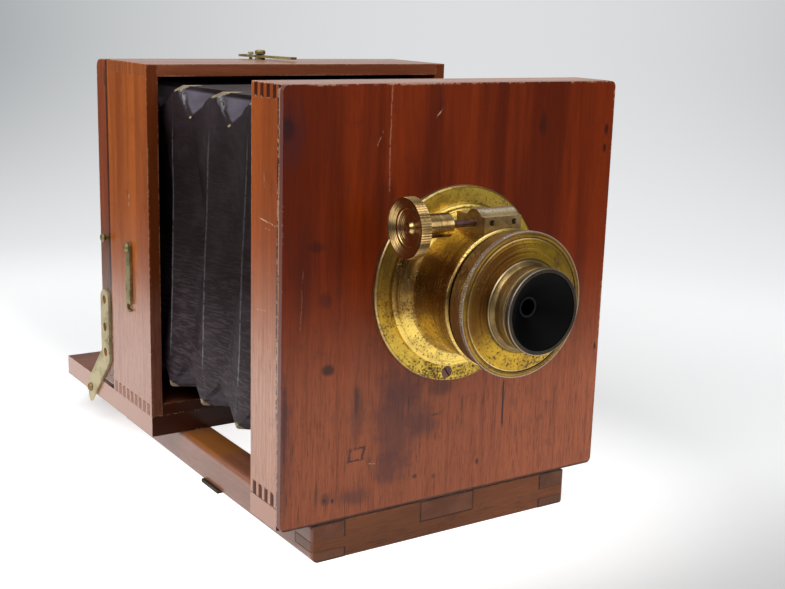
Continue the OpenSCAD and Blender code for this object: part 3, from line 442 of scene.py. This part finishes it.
def markSeams(paint, color, look, box, y, z, grime, chips):
    # dark lines where a board meets its neighbour, partly a real joint and partly painted shade in it,
    # with a little pale glue, and a painted shadow line along the bottom of the lens panel
    low, high = [corner * 1000 for corner in box]
    if "frontSeam" in look:
        wide = look.get("seamWide", 0.9)
        seam = (y - low.y + (grime - 0.5) * 2.0).fall(wide, wide * 2) * z.rise(60, 90)
        color = paint.mix(seam * look["frontSeam"], color, woodTones["seam"])
        pale = seam * (chips + (grime - 0.5) * 0.6).rise(0.50, 0.58) * look.get("seamPale", 0.0)
        color = paint.mix(pale, color, woodTones["glue"])
    if "backSeam" in look:
        seam = y.rise(high.y - 1.4, high.y - 0.6) * look["backSeam"]
        color = paint.mix(seam, color, woodTones["backSeam"])
    # painted shadow: a dark line along the bottom edge, standing in for the shadow in the gap above the
    # rail
    if "underShadow" in look:
        seam = z.fall(low.z + 0.6, low.z + 1.4) * look["underShadow"]
        color = paint.mix(seam, color, woodTones["underShadow"])
    return color


def woodPaint(name, look, box, marks):
    paint = Paint(name)
    x, y, z = paint.axes()
    faceX, faceY, faceZ = paint.split(paint.add("NewGeometry", output="Normal"))
    topFace = faceZ.rise(0.5, 0.9)
    order = {"X": (2, 1, 0), "Y": (0, 2, 1), "Z": (0, 1, 2)}[look["grain"]]
    seed = look["seed"]

    def grain(across, along, shift=0.0):
        scale = [0, 0, 0]
        for axis, value in zip(order, (across, across, along)):
            scale[axis] = value
        return paint.place(scale, (seed * 7.3 + shift, seed * 3.1 + shift, seed * 5.7))

    bands = paint.noise(grain(0.05, 0.004), 4.0, 0.6, 0.3)
    streaks = paint.noise(grain(0.4, 0.007, 9), 5.0, 0.7)
    fibres = paint.noise(grain(3.0, 0.06, 21), 3.0, 0.6)
    pore = paint.noise(grain(3.0, 0.09, 5), 3.0, 0.65).rise(0.53, 0.62)
    patches = paint.cloud(0.025, 4.0, 0.6, seed)
    grime = paint.cloud(0.09, 5.0, 0.65, seed * 1.7)

    color = paint.mix(bands.rise(0.36, 0.64), look["dark"], look["light"])
    color = paint.mix(streaks.rise(0.50, 0.78) * 0.38, color, look["streak"])
    # the lower part blends into the low colour; on the lens panel and the box sides this paler lower
    # colour is a painted reflection of the white floor in the varnish
    lowerPart = 0.0
    if "lowerBlend" in look:
        lowerPart = z.fall(*look["lowerBlend"])
        lowColor = paint.mix(streaks.rise(0.42, 0.75) * 0.5, look["low"], look["dark"])
        color = paint.mix(lowerPart * (0.7 + 0.5 * patches), color, lowColor)
    color = paint.dim(color, 0.74 + 0.52 * fibres)
    # painted light: the colour is brightened towards the lower right
    if "lit" in look:
        color = paint.dim(color, 1 + look["lit"] * x.rise(-10, 60) * z.fall(60, 110))
    color = paint.mix(pore * (0.24 + 0.34 * lowerPart), color, look["streak"])
    color = paint.mix(grime.rise(0.56, 0.76) * 0.35, color, woodTones["grime"])
    color = markWood(paint, color, marks, x, y, z, grime, bands, fibres)

    coat = look.get("coat", 0.8) * (0.35 + 0.65 * z.fall(75, 140).most(topFace))
    # painted shade: faces turned to the front take a darker copy of the colour
    if "front" in look:
        forward = faceY.fall(-0.85, -0.5)
        color = paint.mix(forward, color, paint.dim(color, look["front"]))
        coat = coat * (1 - 0.75 * forward)
    if "topTone" in look:
        color = paint.mix(topFace, color, paint.dim(color, look["topTone"]))
        coat = coat * (1 - 0.6 * topFace)
    if "stain" in look:
        place, reach, stainTone = look["stain"]
        stain = abs(y - place + (patches - 0.5) * 30).fall(reach * 0.5, reach) * topFace
        color = paint.mix(stain * (0.4 + 0.8 * grime), color, stainTone)
    endGrain = abs(faceX).rise(0.6, 0.9)
    if "endTone" in look:
        color = paint.mix(endGrain, color, look["endTone"])
    if "endDull" in look:
        color = paint.mix(endGrain, color, paint.dim(color, look["ends"]))
        coat = coat * (1 - look["endDull"] * endGrain)

    edge = edgeCloseness(x, y, z, box, edgeReach)
    chips = paint.cloud(0.45, 5.0, 0.75, seed * 2.0)
    zone = paint.cloud(0.02, 2.0, 0.5, seed * 4.0).rise(0.38, 0.62)
    tired = chips + edge * 0.1 + zone * 0.14 + (grime - 0.5) * 0.5
    if "rubbed" in look:
        beside = x.fall(look["rubbed"], look["rubbed"] + 2)
        tired = tired + beside * (y.rise(*look["rubbedBack"]) * 0.26 - 0.12)
    worn = edge * tired.rise(0.66, 0.74) * look["wear"]
    edgeDirtAndShadow = edge * (chips + zone * 0.1).fall(0.40, 0.50) * 0.5
    # painted shadow: a dark outline along the edges of front faces, standing in for the shadow gaps
    # between parts
    if "outline" in look:
        edgeDirtAndShadow = edgeDirtAndShadow.most(faceY.fall(-0.6, -0.4) * edge.rise(0.25, 0.5) * look["outline"])
        worn = worn * (1 - edgeDirtAndShadow)
    color = paint.mix(edgeDirtAndShadow, color, woodTones["edgeDirtAndShadowTone"])
    color = paint.mix(worn, color, woodTones["bare"])
    color = markSeams(paint, color, look, box, y, z, grime, chips)
    relief = fibres * 0.35 - pore * 0.6 - worn * 0.7 + streaks * 0.3
    return paint.finish({
        "Base Color": color, "Roughness": look["rough"] + 0.14 * patches + 0.12 * pore + 0.15 * worn,
        "Normal": paint.bump(relief, 0.3, 0.00025), "Specular IOR Level": 0.08,
        "Coat Weight": coat, "Coat Roughness": 0.2, "Coat IOR": 1.5, "IOR": 1.48,
    })


print("stage: boards")

# in mm, across and up from the middle of the base, and last how strong each mark is
# spots and smears have two half sizes, squares one, and cracks a bottom, a top and a width
# scratches run from one place to another and have a width, on a side along y instead of x
panelMarks = {
    "spots": (
        (-97.7, 215.7, 4.2, 6.5, 0.9), (-76.0, 133.9, 4.2, 4.5, 0.45), (-74.1, 99.4, 3.6, 3.0, 0.8),
        (-75.1, 32.5, 3.4, 3.6, 0.6), (-75.4, 32.4, 1.5, 1.6, 0.9), (-70.8, 31.3, 0.9, 1.5, 1.0),
        (-7.3, 80.5, 9.0, 5.0, 0.5), (-20.2, 68.0, 10.0, 12.0, 0.25), (-58.0, 80.0, 1.3, 9.0, 0.6),
        (51.6, 213.4, 2.6, 7.0, 0.5), (95.5, 210.0, 1.4, 3.5, 0.8), (95.0, 199.9, 1.2, 2.6, 0.9),
        (97.5, 89.5, 1.0, 2.4, 0.95), (18.3, 35.9, 1.3, 2.3, 0.85), (-10.0, 66.7, 4.0, 0.8, 0.6),
        (-9.5, 55.0, 0.9, 3.6, 0.55), (-21.7, 35.0, 1.5, 1.3, 0.7), (-9.5, 32.8, 1.3, 1.5, 0.6),
        (-83.0, 160.0, 6.0, 3.0, 0.5), (-98.0, 74.0, 1.4, 26.0, 0.6), (-44.0, 176.0, 6.0, 14.0, 0.3),
        (-88.0, 150.0, 6.0, 24.0, 0.22), (70.0, 60.0, 1.4, 14.0, 0.35), (60.0, 96.0, 1.2, 10.0, 0.35),
        (6.8, 70.8, 0.9, 6.0, 0.5), (-80.0, 36.0, 1.0, 9.0, 0.4),
    ),
    "smears": (
        (-34.0, 66.0, 14.0, 28.0, 0.6), (-31.0, 84.0, 13.0, 12.0, 0.5), (-37.0, 42.0, 11.0, 10.0, 0.5),
        (-61.1, 31.7, 11.0, 6.0, 0.6), (-99.0, 60.0, 5.0, 42.0, 0.5), (-16.0, 62.0, 12.0, 9.0, 0.5),
        (-97.0, 215.0, 9.0, 16.0, 0.5), (-58.0, 74.0, 4.0, 16.0, 0.5),
    ),
    "squares": ((-57.4, 53.4, 4.0, 0.8),),
    "cracks": ((34.0, 50, 80, 0.8, 0.95), (-14.3, 216, 236, 0.5, 0.5), (-8.4, 44, 50, 0.6, 0.6),
               (-33.0, 62, 78, 0.5, 0.5), (8.0, 88, 98, 0.5, 0.5), (-27.0, 64, 80, 0.6, 0.6)),
    "scratches": ((-42.3, 183, -42.0, 236, 0.5, 0.25), (-16.0, 218.5, -11.5, 224.0, 0.45, 0.75),
                  (-50.9, 46.8, -45.5, 46.4, 0.4, 0.5), (-50.0, 205.0, -46.0, 214.0, 0.35, 0.3),
                  (60.0, 120.0, 62.0, 152.0, 0.3, 0.2), (-90.0, 120.0, -89.0, 150.0, 0.3, 0.12)),
}

sideMarks = {
    "side": True,
    "scratches": ((-109.5, 170.2, -92.0, 172.0, 0.45, 0.8), (-104.0, 167.5, -98.0, 168.0, 0.35, 0.5),
                  (-100.0, 128.0, -89.0, 127.0, 0.35, 0.4), (-98.0, 186.0, -97.0, 194.0, 0.4, 0.3)),
}
rearMarks = {
    "side": True,
    "scratches": ((70.8, 161.0, 71.6, 152.0, 0.8, 0.6), (50.0, 196.0, 52.0, 205.0, 0.35, 0.3),
                  (84.0, 120.0, 78.0, 118.0, 0.4, 0.35)),
}

# the finish of each board, and how far its edges are eased, in mm
boards = {
    "lens_panel": ("lensPanel", 1.1),
    "front_box_left": ("frontSide", 0.45), "front_box_right": ("frontSide", 0.45),
    "front_box_top": ("frontTop", 0.45), "front_box_bottom": ("frontTop", 0.45),
    "front_bottom_board": ("board", 0.5),
    "rear_box_left": ("rearSide", 0.3), "rear_box_right": ("rearSide", 0.3),
    "rear_box_top": ("rearTop", 0.3), "rear_box_bottom": ("rearBottom", 0.3),
    "sliding_board": ("board", 0.9), "guide_cleats": ("rail", 0.5),
    "screen_stile_left": ("screenFrame", 0.9), "screen_stile_right": ("screenFrame", 0.9),
    "screen_rail_top": ("screenRail", 0.6), "screen_rail_bottom": ("screenRail", 0.6),
    "glass_beads": ("screenRail", 0.6),
    "base_rail_left": ("rail", 0.5), "base_rail_right": ("rail", 0.5),
    "base_front_rail": ("crossRail", 0.5), "base_rear_rail": ("crossRail", 0.5),
    "centre_bar": ("rail", 0.4),
    "bellows_front_holder": ("inside", 0.4), "bellows_rear_holder": ("inside", 0.4),
}


def copyOf(node, name):
    # a merged copy of a CAD piece, ready to be worked on
    source = frame["nodes"][node]
    piece = source.copy()
    piece.data = source.data.copy()
    bpy.context.collection.objects.link(piece)
    piece.parent = None
    piece.matrix_world = Matrix.Identity(4)
    piece.name = name
    piece.data.materials.clear()
    pickOnly(piece)
    bpy.ops.object.mode_set(mode="EDIT")
    bpy.ops.mesh.select_all(action="SELECT")
    bpy.ops.mesh.remove_doubles(threshold=2e-6)
    bpy.ops.mesh.dissolve_limited(angle_limit=math.radians(0.5))
    bpy.ops.object.mode_set(mode="OBJECT")
    return piece


def applyBevel(piece, width, segments=2, angle=40):
    pickOnly(piece)
    bevel = piece.modifiers.new("bevel", "BEVEL")
    bevel.width = width * mm
    bevel.segments = segments
    bevel.limit_method = "ANGLE"
    bevel.angle_limit = math.radians(angle)
    bevel.use_clamp_overlap = True
    bpy.ops.object.modifier_apply(modifier=bevel.name)
    bpy.ops.object.shade_smooth_by_angle(angle=math.radians(35))
    normals = piece.modifiers.new("normals", "WEIGHTED_NORMAL")
    normals.keep_sharp = True
    normals.weight = 90
    bpy.ops.object.modifier_apply(modifier=normals.name)


def settle(piece, node, material):
    # the piece stands for its node, and rides with it
    piece.data.materials.append(material)
    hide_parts(node)
    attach(piece, bodyOf[node])


def roundEdges(piece, width, wanted):
    # rounds the edges of which both ends are wanted, where handling has worn the wood down
    pickOnly(piece)
    bpy.ops.object.mode_set(mode="EDIT")
    bpy.ops.mesh.select_mode(type="EDGE")
    bpy.ops.mesh.select_all(action="DESELECT")
    bpy.ops.object.mode_set(mode="OBJECT")
    corners = [vertex.co.copy() for vertex in piece.data.vertices]
    for edge in piece.data.edges:
        edge.select = all(wanted(corners[i] * 1000) for i in edge.vertices)
    bpy.ops.object.mode_set(mode="EDIT")
    bpy.ops.mesh.bevel(offset=width * mm, segments=5, affect="EDGES")
    bpy.ops.object.mode_set(mode="OBJECT")


wornWidth = {"screen": 5.5, "base": 3.2}  # in mm


def wornEdge(node):
    # how far an edge of this board is worn round, and which
    low, high = [corner * 1000 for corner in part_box(node)]
    outer = max(-low.x, high.x) - 0.1

    def front(c):
        return c.y < low.y + 0.1

    def rear(c):
        return c.y > high.y - 0.1

    if node in ("screen_stile_left", "screen_stile_right", "screen_rail_top"):
        return wornWidth["screen"], lambda c: rear(c) and c.z > high.z - 0.1
    if node in ("base_rail_left", "base_rail_right"):
        return wornWidth["base"], lambda c: abs(c.x) > outer and (front(c) or rear(c) or c.z < 0.1)
    if node == "base_front_rail":
        return wornWidth["base"], lambda c: abs(c.x) > outer and (front(c) or c.z < 0.1)
    if node == "base_rear_rail":
        return wornWidth["base"], lambda c: abs(c.x) > outer and (rear(c) or c.z < 0.1)
    return None


for node, (finish, width) in boards.items():
    piece = copyOf(node, node + "_wood")
    if wornEdge(node):
        roundEdges(piece, *wornEdge(node))
    applyBevel(piece, width)
    marks = {"lensPanel": panelMarks, "frontSide": sideMarks, "rearSide": rearMarks}.get(finish, {})
    settle(piece, node, woodPaint(node + "_paint", mahogany[finish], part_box(node), marks))


print("stage: metal finishes")

brassLooks = {
    "flange": {
        "color": tone(214, 180, 76), "deep": tone(156, 124, 50), "pits": 0.55, "rough": 0.26,
        "turn": 0.3, "tilt": 0.8, "darkReflection": (0.45, -46, -32, 14, 36),
    },
    "barrel": {
        "color": tone(226, 194, 98), "deep": tone(172, 142, 68), "pits": 0.58, "rough": 0.17,
        "turn": 0.2, "tilt": 2.0, "darkReflection": (0.78, -26, -2, 8, 27),
    },
    "ring": {
        "color": tone(194, 156, 54), "deep": tone(142, 108, 42), "pits": 0.56, "rough": 0.24,
        "turn": 0.3, "tilt": 1.0, "shade": 0.9,
    },
    "hood": {
        "color": tone(138, 115, 74), "deep": tone(92, 74, 46), "pits": 0.72, "rough": 0.3,
        "turn": 0.3, "tilt": 1.2,
    },
    "knob": {
        "color": tone(196, 164, 110), "deep": tone(146, 116, 72), "pits": 0.72, "rough": 0.14,
        "turn": 0.3, "tilt": 4.0,
    },
    "pale": {
        "color": tone(190, 162, 112), "deep": tone(132, 108, 70), "pits": 0.6, "rough": 0.3,
        "turn": 0.1, "cap": tone(220, 212, 190),
    },
    "bronze": {
        "color": tone(110, 80, 56), "deep": tone(70, 48, 34), "pits": 0.7, "rough": 0.35, "turn": 0.4,
    },
    "dull": {"color": tone(150, 138, 96), "deep": tone(104, 92, 58), "pits": 0.62, "rough": 0.42},
    "strap": {"color": tone(184, 172, 138), "deep": tone(148, 134, 98), "pits": 0.66, "rough": 0.5},
    "screw": {"color": tone(140, 112, 66), "deep": tone(84, 60, 34), "pits": 0.55, "rough": 0.42},
    "rust": {"color": tone(168, 112, 60), "deep": tone(112, 62, 28), "pits": 0.5, "rough": 0.6},
    "dark": {"color": tone(70, 58, 44), "deep": tone(42, 35, 28), "pits": 0.5, "rough": 0.45},
    "steel": {"color": tone(112, 84, 76), "deep": tone(70, 50, 46), "pits": 0.6, "rough": 0.36},
}
tarnishAndShadeTones = {"pit": tone(58, 42, 24), "shade": tone(104, 64, 30), "darkReflection": tone(104, 66, 34)}
# bands of another tone on the turned parts, in mm: inner and outer radius, start and end in front
# of the panel, then the tone and how strong it is
turnedBands = {
    "flange": (
        (49.9, 50.7, 0, 4, tone(206, 198, 178), 0.4),
        (49.2, 49.6, 2, 4, tone(60, 42, 22), 0.6),
        # painted shadow in the groove at the neck
        (35.5, 36.7, 2, 4, tone(60, 42, 22), 0.8),
    ),
    "barrel": (
        (33.2, 33.7, 36.4, 37.0, tone(60, 40, 20), 0.8),
        (34.2, 35, 37.6, 39.6, tone(226, 206, 160), 0.35),
        (40.5, 43, 2, 5.5, tone(214, 182, 104), 0.3),
        # painted shade: the barrel's end face is darkened where the gap to the ring lies in shadow
        (30, 34.0, 39.9, 41, tone(60, 42, 26), 0.8),
    ),
    "ring": (
        (33.2, 34.5, 41, 50.7, tone(128, 102, 70), 0.65),
        # painted shade in the gap at the start of the ring's skirt
        (33.0, 34.5, 41, 41.9, tone(60, 42, 30), 0.7),
        (35.0, 36.4, 50.6, 53.4, tone(186, 178, 168), 0.85),
        (32.7, 34.9, 52.7, 54, tone(112, 76, 46), 0.55),
        (32.3, 32.7, 52, 54, tone(50, 36, 18), 0.8),
        (31.8, 32.2, 52, 54, tone(230, 214, 170), 0.55),
        (22.0, 23.0, 52, 56, tone(60, 46, 26), 0.7),
    ),
    "hood": (
        (20.1, 21.5, 65.0, 68.9, tone(74, 64, 56), 0.9),
        (20.35, 21.5, 65.0, 65.7, tone(196, 186, 164), 0.7),
        # painted highlight: a grey band on the inner lip of the hood, standing in for its reflection
        (18, 20.3, 67.6, 69, tone(60, 54, 50), 0.9),
        (20.3, 21.5, 68.0, 69, tone(170, 160, 142), 0.6),
        (21.6, 23, 52, 57, tone(206, 196, 170), 0.25),
    ),
}


def middle(node):
    low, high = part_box(node)
    return (low + high) * 500


lensMiddle = middle("lens_barrel")
knobMiddle = middle("focus_knob")
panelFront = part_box("lens_panel")[0].y * 1000


def leaned(paint, normal, spoke, axle, amount):
    # leans the surface to and fro across the marks left by turning
    def vector(operation, *values):
        return paint.add("VectorMath", {"operation": operation}, dict(enumerate(values)))
    spoke = paint.add("CombineXYZ", None, dict(enumerate(spoke)))
    spoke = paint.add("VectorTransform", {"convert_from": "OBJECT", "convert_to": "WORLD"}, {0: spoke})
    across = vector("NORMALIZE", vector("CROSS_PRODUCT", normal, vector("CROSS_PRODUCT", spoke, axle)))
    lean = paint.add("VectorMath", {"operation": "SCALE"}, {0: across, 3: amount})
    return vector("NORMALIZE", vector("ADD", normal, lean))


def brassPaint(name, look, around, rings):
    paint = Paint(name)
    x, y, z = paint.axes()
    upward = z - lensMiddle.z
    normal = paint.add("NewGeometry", output="Normal")
    faceX, _, faceZ = paint.split(normal)
    if around == "lens":
        spoke, axle = (x, 0.0, upward), (0, 1, 0)
        away, length = radius(x, upward), panelFront - y
    else:
        spoke, axle = (0.0, y - knobMiddle.y, z - knobMiddle.z), (1, 0, 0)
        away, length = radius(*spoke[1:]), x
    tarnish = paint.cloud(0.1, 5.0, 0.65)
    clouds = paint.cloud(0.035, 2.0, 0.5, 5)
    specks = paint.cloud(0.8, 4.0, 0.75)
    pits = specks + (clouds - 0.5) * 0.3 + (tarnish - 0.5) * 0.2
    if around == "lens":
        pits = pits + (0 - upward).rise(10, 45) * 0.03
    pits = pits.rise(look["pits"] + 0.01, look["pits"] + 0.07)
    turned = paint.noise(paint.add("CombineXYZ", None, {0: away * 3.0, 1: length * 3.0}), 2.0, 0.6)
    color = paint.mix(tarnish.rise(0.40, 0.66) * 0.8, look["color"], look["deep"])
    color = paint.mix(pits * 0.85, color, tarnishAndShadeTones["pit"])
    for inner, outer, start, end, band, depth in rings:
        inside = away.rise(inner - 0.15, inner + 0.1) * away.fall(outer - 0.1, outer + 0.15)
        inside = inside * length.rise(start - 0.15, start + 0.1) * length.fall(end - 0.1, end + 0.15)
        color = paint.mix(inside * depth * (0.7 + 0.6 * tarnish), color, band)
    # painted shade: the ring's left side, towards the hood, is darkened to brown
    if "shade" in look:
        brown = (x - upward * 0.5 + (clouds - 0.5) * 20).fall(-28, -2) * away.fall(30, 35)
        color = paint.mix(brown * look["shade"], color, tarnishAndShadeTones["shade"])
    # painted reflection: a brown band on the left of the barrel and flange, the wood of the panel
    # mirrored in the brass
    if "darkReflection" in look:
        depth, far, near, height, reach = look["darkReflection"]
        brown = abs(upward - height + (clouds - 0.5) * 12).fall(reach * 0.35, reach) * x.fall(far, near)
        color = paint.mix(brown * depth, color, tarnishAndShadeTones["darkReflection"])
    if "cap" in look:
        color = paint.mix(faceZ.rise(0.6, 0.9) * specks.fall(0.5, 0.62) * 0.8, color, look["cap"])
    if "tilt" in look:
        fine = paint.add("CombineXYZ", None, {0: away * 1.3, 1: length * 1.3, 2: 7.0})
        amount = (paint.noise(fine, 5.0, 0.8) - 0.5) * look["tilt"]
        if around == "knob":
            amount = amount * (0.1 + 0.9 * abs(faceX).rise(0.5, 0.9))
        normal = leaned(paint, normal, spoke, axle, amount)
    height = turned * look.get("turn", 0.0) - pits * 0.6 + tarnish * 0.1
    return paint.finish({
        "Base Color": color, "Metallic": 1 - pits * 0.6,
        "Roughness": look["rough"] + 0.16 * tarnish + 0.3 * pits + 0.05 * turned,
        "Normal": paint.bump(height, 0.25, 0.0002, normal),
    })


metals = {}
for name, look in brassLooks.items():
    around = "knob" if name == "knob" else "lens"
    metals[name] = brassPaint(name + "Brass", look, around, turnedBands.get(name, ()))


def dress(node, material):
    # a CAD piece keeps its own mesh and takes a finish
    mesh = frame["nodes"][node].data
    mesh.materials.clear()
    mesh.materials.append(material)


nodeMetals = {
    "lens_flange": "flange", "lens_barrel": "barrel", "pinion_housing": "pale", "focus_knob": "knob",
    "lens_tube": "bronze", "front_ring": "ring", "lens_hood": "hood", "lens_flange_screws": "steel",
    "housing_screws": "dark", "focus_rack": "steel", "focus_pinion": "steel", "tripod_strap": "dark",
    "tripod_strap_screws": "dark", "front_board_screws": "steel", "cleat_screws": "steel",
    "hinge_strap_left": "strap", "hinge_strap_right": "strap", "hinge_screws": "rust",
    "hinge_pivots": "screw", "side_studs": "dull", "side_hook_left": "dull", "side_hook_right": "dull",
    "hook_screws": "dull", "top_latch": "dull", "latch_knob": "dull", "latch_stud": "dull",
}
for node, finish in nodeMetals.items():
    dress(node, metals[finish])


print("stage: black and glass")


def cellPaint():
    # a plain black with a little cloudiness and a fine tooth
    paint = Paint("stopBlack")
    cloud = paint.cloud(0.08, 3.0)
    return paint.finish({
        "Base Color": paint.dim(tone(7, 7, 8), 0.8 + 0.4 * cloud), "Roughness": 0.6 + 0.1 * cloud,
        "Normal": paint.bump(paint.cloud(2.4), 0.15, 0.0001), "Specular IOR Level": 0.1,
    })


def stopPaint():
    # black, with the thin edge of the hole rubbed grey
    paint = Paint("stopEdge")
    x, _, z = paint.axes()
    away = radius(x, z - lensMiddle.z)
    cloud = paint.cloud(0.2, 3.0)
    edge = away.rise(3.9, 4.2) * away.fall(4.7, 5.1) * 0.7
    return paint.finish({
        "Base Color": paint.mix(edge, paint.mix(cloud, tone(2, 2, 3), tone(5, 5, 6)), tone(44, 46, 48)),
        "Roughness": 0.5 + 0.2 * cloud, "Specular IOR Level": 0.07,
    })


def glassPaint(name, color, rough):
    paint = Paint(name)
    return paint.finish({
        "Base Color": color, "Roughness": rough + 0.06 * paint.cloud(0.2, 3.0),
        "Transmission Weight": 1.0, "IOR": 1.5,
    })


dress("stop_cone", stopPaint())
dress("lens_cell", cellPaint())
dress("lens_glass", glassPaint("lensGlass", tone(226, 236, 232), 0.02))
dress("ground_glass", glassPaint("groundGlass", tone(226, 232, 228), 0.55))


print("stage: bellows")

cloth = {
    "body": tone(18, 6, 7), "light": tone(74, 63, 67), "worn": tone(176, 158, 128),
    "gusset": tone(104, 98, 108), "crease": tone(14, 11, 12), "chalk": tone(172, 168, 172),
    "front": -95.5, "pitch": 42.5, "folds": 4, "middle": 138.0, "halfHeight": 88.0, "halfWidth": 89.5,
    "lean": 9.0, "tuck": 20.0, "sunk": 11.0, "crumple": 0.7, "stagger": 12.0,
    "sideReach": 22, "roofReach": 28, "pullReach": 17,
    # axis, start, step and count of the cuts that give the cloth its mesh
    "cuts": ((2, 54.0, 6.0, 29), (0, -84.0, 12.0, 15), (1, -90.2, 10.625, 16)),
}


def clothPaint():
    paint = Paint("bellowsCloth")
    _, _, z = paint.axes()
    weave = paint.noise(paint.place((0.7, 0.7, 2.6)), 3.0, 0.6)
    cloud = paint.cloud(0.045, 4.0, 0.6)
    creases = paint.noise(paint.place((0.12, 0.12, 0.9)), 4.0, 0.65, 0.4)
    scuffs = paint.cloud(0.35, 4.0, 0.7, 3)
    flecks = paint.cloud(0.8, 4.0, 0.75, 8)
    # the fold lines are worked out from where each point lay before the cloth was shaped
    across, along, height = paint.split(
        paint.add("Attribute", {"attribute_name": "rest"}, output="Vector"))
    pitch, tuck = cloth["pitch"], cloth["tuck"]
    phase = ((along - cloth["front"]) / pitch).math("FRACT")
    depth = 1 - abs(phase - 0.5) * 2
    fromRidge = depth * (pitch / 2)
    below = cloth["halfHeight"] - abs(height - cloth["middle"])
    inward = cloth["halfWidth"] - abs(across)
    high = height.rise(cloth["middle"], cloth["middle"] + 10)
    onSide = inward.fall(2.5, 5)
    rearward = phase.rise(0.5, 0.55)
    gusset = (depth * tuck - below).rise(0, 1.5) * (depth * tuck - inward).rise(0, 1.5)
    arm = abs(below - depth * tuck + 0.6).fall(0.6, 1.8) * inward.fall(1.4, 3.0) * below.fall(18, 21)
    ridge = fromRidge.fall(0.3, 1.1) * below.rise(16, 34) * onSide
    tip = radius(fromRidge - pitch / 2, below - tuck).fall(0.6, 2.4) * onSide * high
    corner = fromRidge * fromRidge * 0.7 + below * below * 0.5 + inward * inward * 0.05
    corner = corner.root().fall(1.5, 5.0)
    low = z.fall(60, 150)
    # dust, with painted light: the creases lower down, the whole lower part and the top are lightened,
    # the lower part standing in for the white floor's reflection
    dustAndSheen = cloud.rise(0.4, 0.7) * 0.2 + creases.rise(0.46, 0.62) * (0.08 + 0.6 * low)
    color = paint.mix(dustAndSheen + low * 0.3 + z.rise(185, 222) * 0.25, cloth["body"], cloth["light"])
    color = paint.dim(color, 0.72 + 0.56 * weave)
    # painted light: the V-shaped gussets at the top are lightened, more on their rear-facing halves
    lit = gusset * (0.3 + 0.7 * high) * (0.2 + 0.6 * creases + rearward * 0.55)
    color = paint.mix(lit, color, cloth["gusset"])
    # painted shade: a dark line along the front arm of each V-shaped fold at the top
    color = paint.mix(arm * (1 - rearward) * high * 0.8, color, cloth["crease"])
    # painted highlight along the rear arm of each V-shaped fold, and pale rubbed wear along the ridges
    chalk = (arm * rearward * high * 0.9).most(ridge * (0.12 + 0.3 * low)) * scuffs.rise(0.36, 0.54)
    color = paint.mix(chalk, color, cloth["chalk"])
    worn = (corner.most(tip) * 0.8 + flecks * 0.9).rise(0.92, 1.12)
    color = paint.mix(worn * 0.85, color, cloth["worn"])
    relief = weave * 0.4 + creases * (0.5 + 1.2 * low) + scuffs * 0.3
    return paint.finish({
        "Base Color": color, "Roughness": 0.42 + 0.16 * cloud + 0.3 * worn,
        "Normal": paint.bump(relief, 0.5, 0.0006), "Specular IOR Level": 0.09,
    })


def cutEvenly(axis, start, step, count):
    # cuts the whole mesh in edit mode at even steps along an axis
    for i in range(count):
        place = [0.0, 0.0, 0.0]
        place[axis] = (start + step * i) * mm
        way = [1.0 if i == axis else 0.0 for i in range(3)]
        bpy.ops.mesh.select_all(action="SELECT")
        bpy.ops.mesh.bisect(plane_co=place, plane_no=way)


def foldedPlace(place):
    # where a point of the plain bellows lies once the cloth is folded, in millimetres
    x, y, z = place * 1000
    pitch, tuck = cloth["pitch"], cloth["tuck"]
    along = (y - cloth["front"]) / (pitch * cloth["folds"])
    if not 0 < along < 1:
        return place * 1000
    phase = ((y - cloth["front"]) / pitch) % 1
    fromRidge = min(phase, 1 - phase) * pitch
    depth = fromRidge / pitch * 2
    side = max(0.0, 1 - (cloth["halfWidth"] - abs(x)) / cloth["sideReach"])
    below = cloth["halfHeight"] - abs(z - cloth["middle"])
    roof = max(0.0, 1 - below / cloth["roofReach"])
    pull = max(0, 1 - math.hypot(pitch / 2 - fromRidge, below - tuck) / cloth["pullReach"])
    inFold = tuck * depth + 0.8 > below
    stagger = cloth["stagger"] * max(0, 1 - below / (15 if inFold else 5)) * (z > cloth["middle"])
    loose = math.sin(math.pi * along) ** 0.5
    drop = (cloth["middle"] + cloth["halfHeight"] - z) / (2 * cloth["halfHeight"])
    flow = noise.noise(place * 22) * cloth["crumple"] + noise.noise(place * 75) * 0.25
    sunk = cloth["sunk"] * depth * min(1, max(0, below - tuck) / 60) * side
    outward = Vector((math.copysign(side, x), 0, math.copysign(roof, z - cloth["middle"]) * 0.6))
    sway = noise.noise(place * 14 + Vector((5, 5, 5))) * 1.6
    forward = 8 * (1 - drop) * min(max((20 - y) / 60, 0), 1)
    y += (cloth["lean"] * drop - forward + sway - stagger) * loose + 5.5 * pull
    z += math.copysign(4 * pull, z - cloth["middle"])
    return Vector((x, y, z)) + outward * ((flow - 0.5) * loose - sunk)


def buildBellows():
    piece = copyOf("bellows", "bellows_cloth")
    applyBevel(piece, 0.9, angle=8)
    pickOnly(piece)
    bpy.ops.object.mode_set(mode="EDIT")
    for cut in cloth["cuts"]:
        cutEvenly(*cut)
    for side in (-1.6, 1.6):
        cutEvenly(1, cloth["front"] + side, cloth["pitch"], cloth["folds"] + 1)
    bpy.ops.object.mode_set(mode="OBJECT")
    rest = piece.data.attributes.new("rest", "FLOAT_VECTOR", "POINT").data
    for vertex, start in zip(piece.data.vertices, rest):
        start.vector = vertex.co * 1000
        vertex.co = foldedPlace(vertex.co) * mm
    bpy.ops.object.shade_smooth_by_angle(angle=math.radians(16))
    piece.data.materials.append(clothPaint())
    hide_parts("bellows")
    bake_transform(piece)


buildBellows()
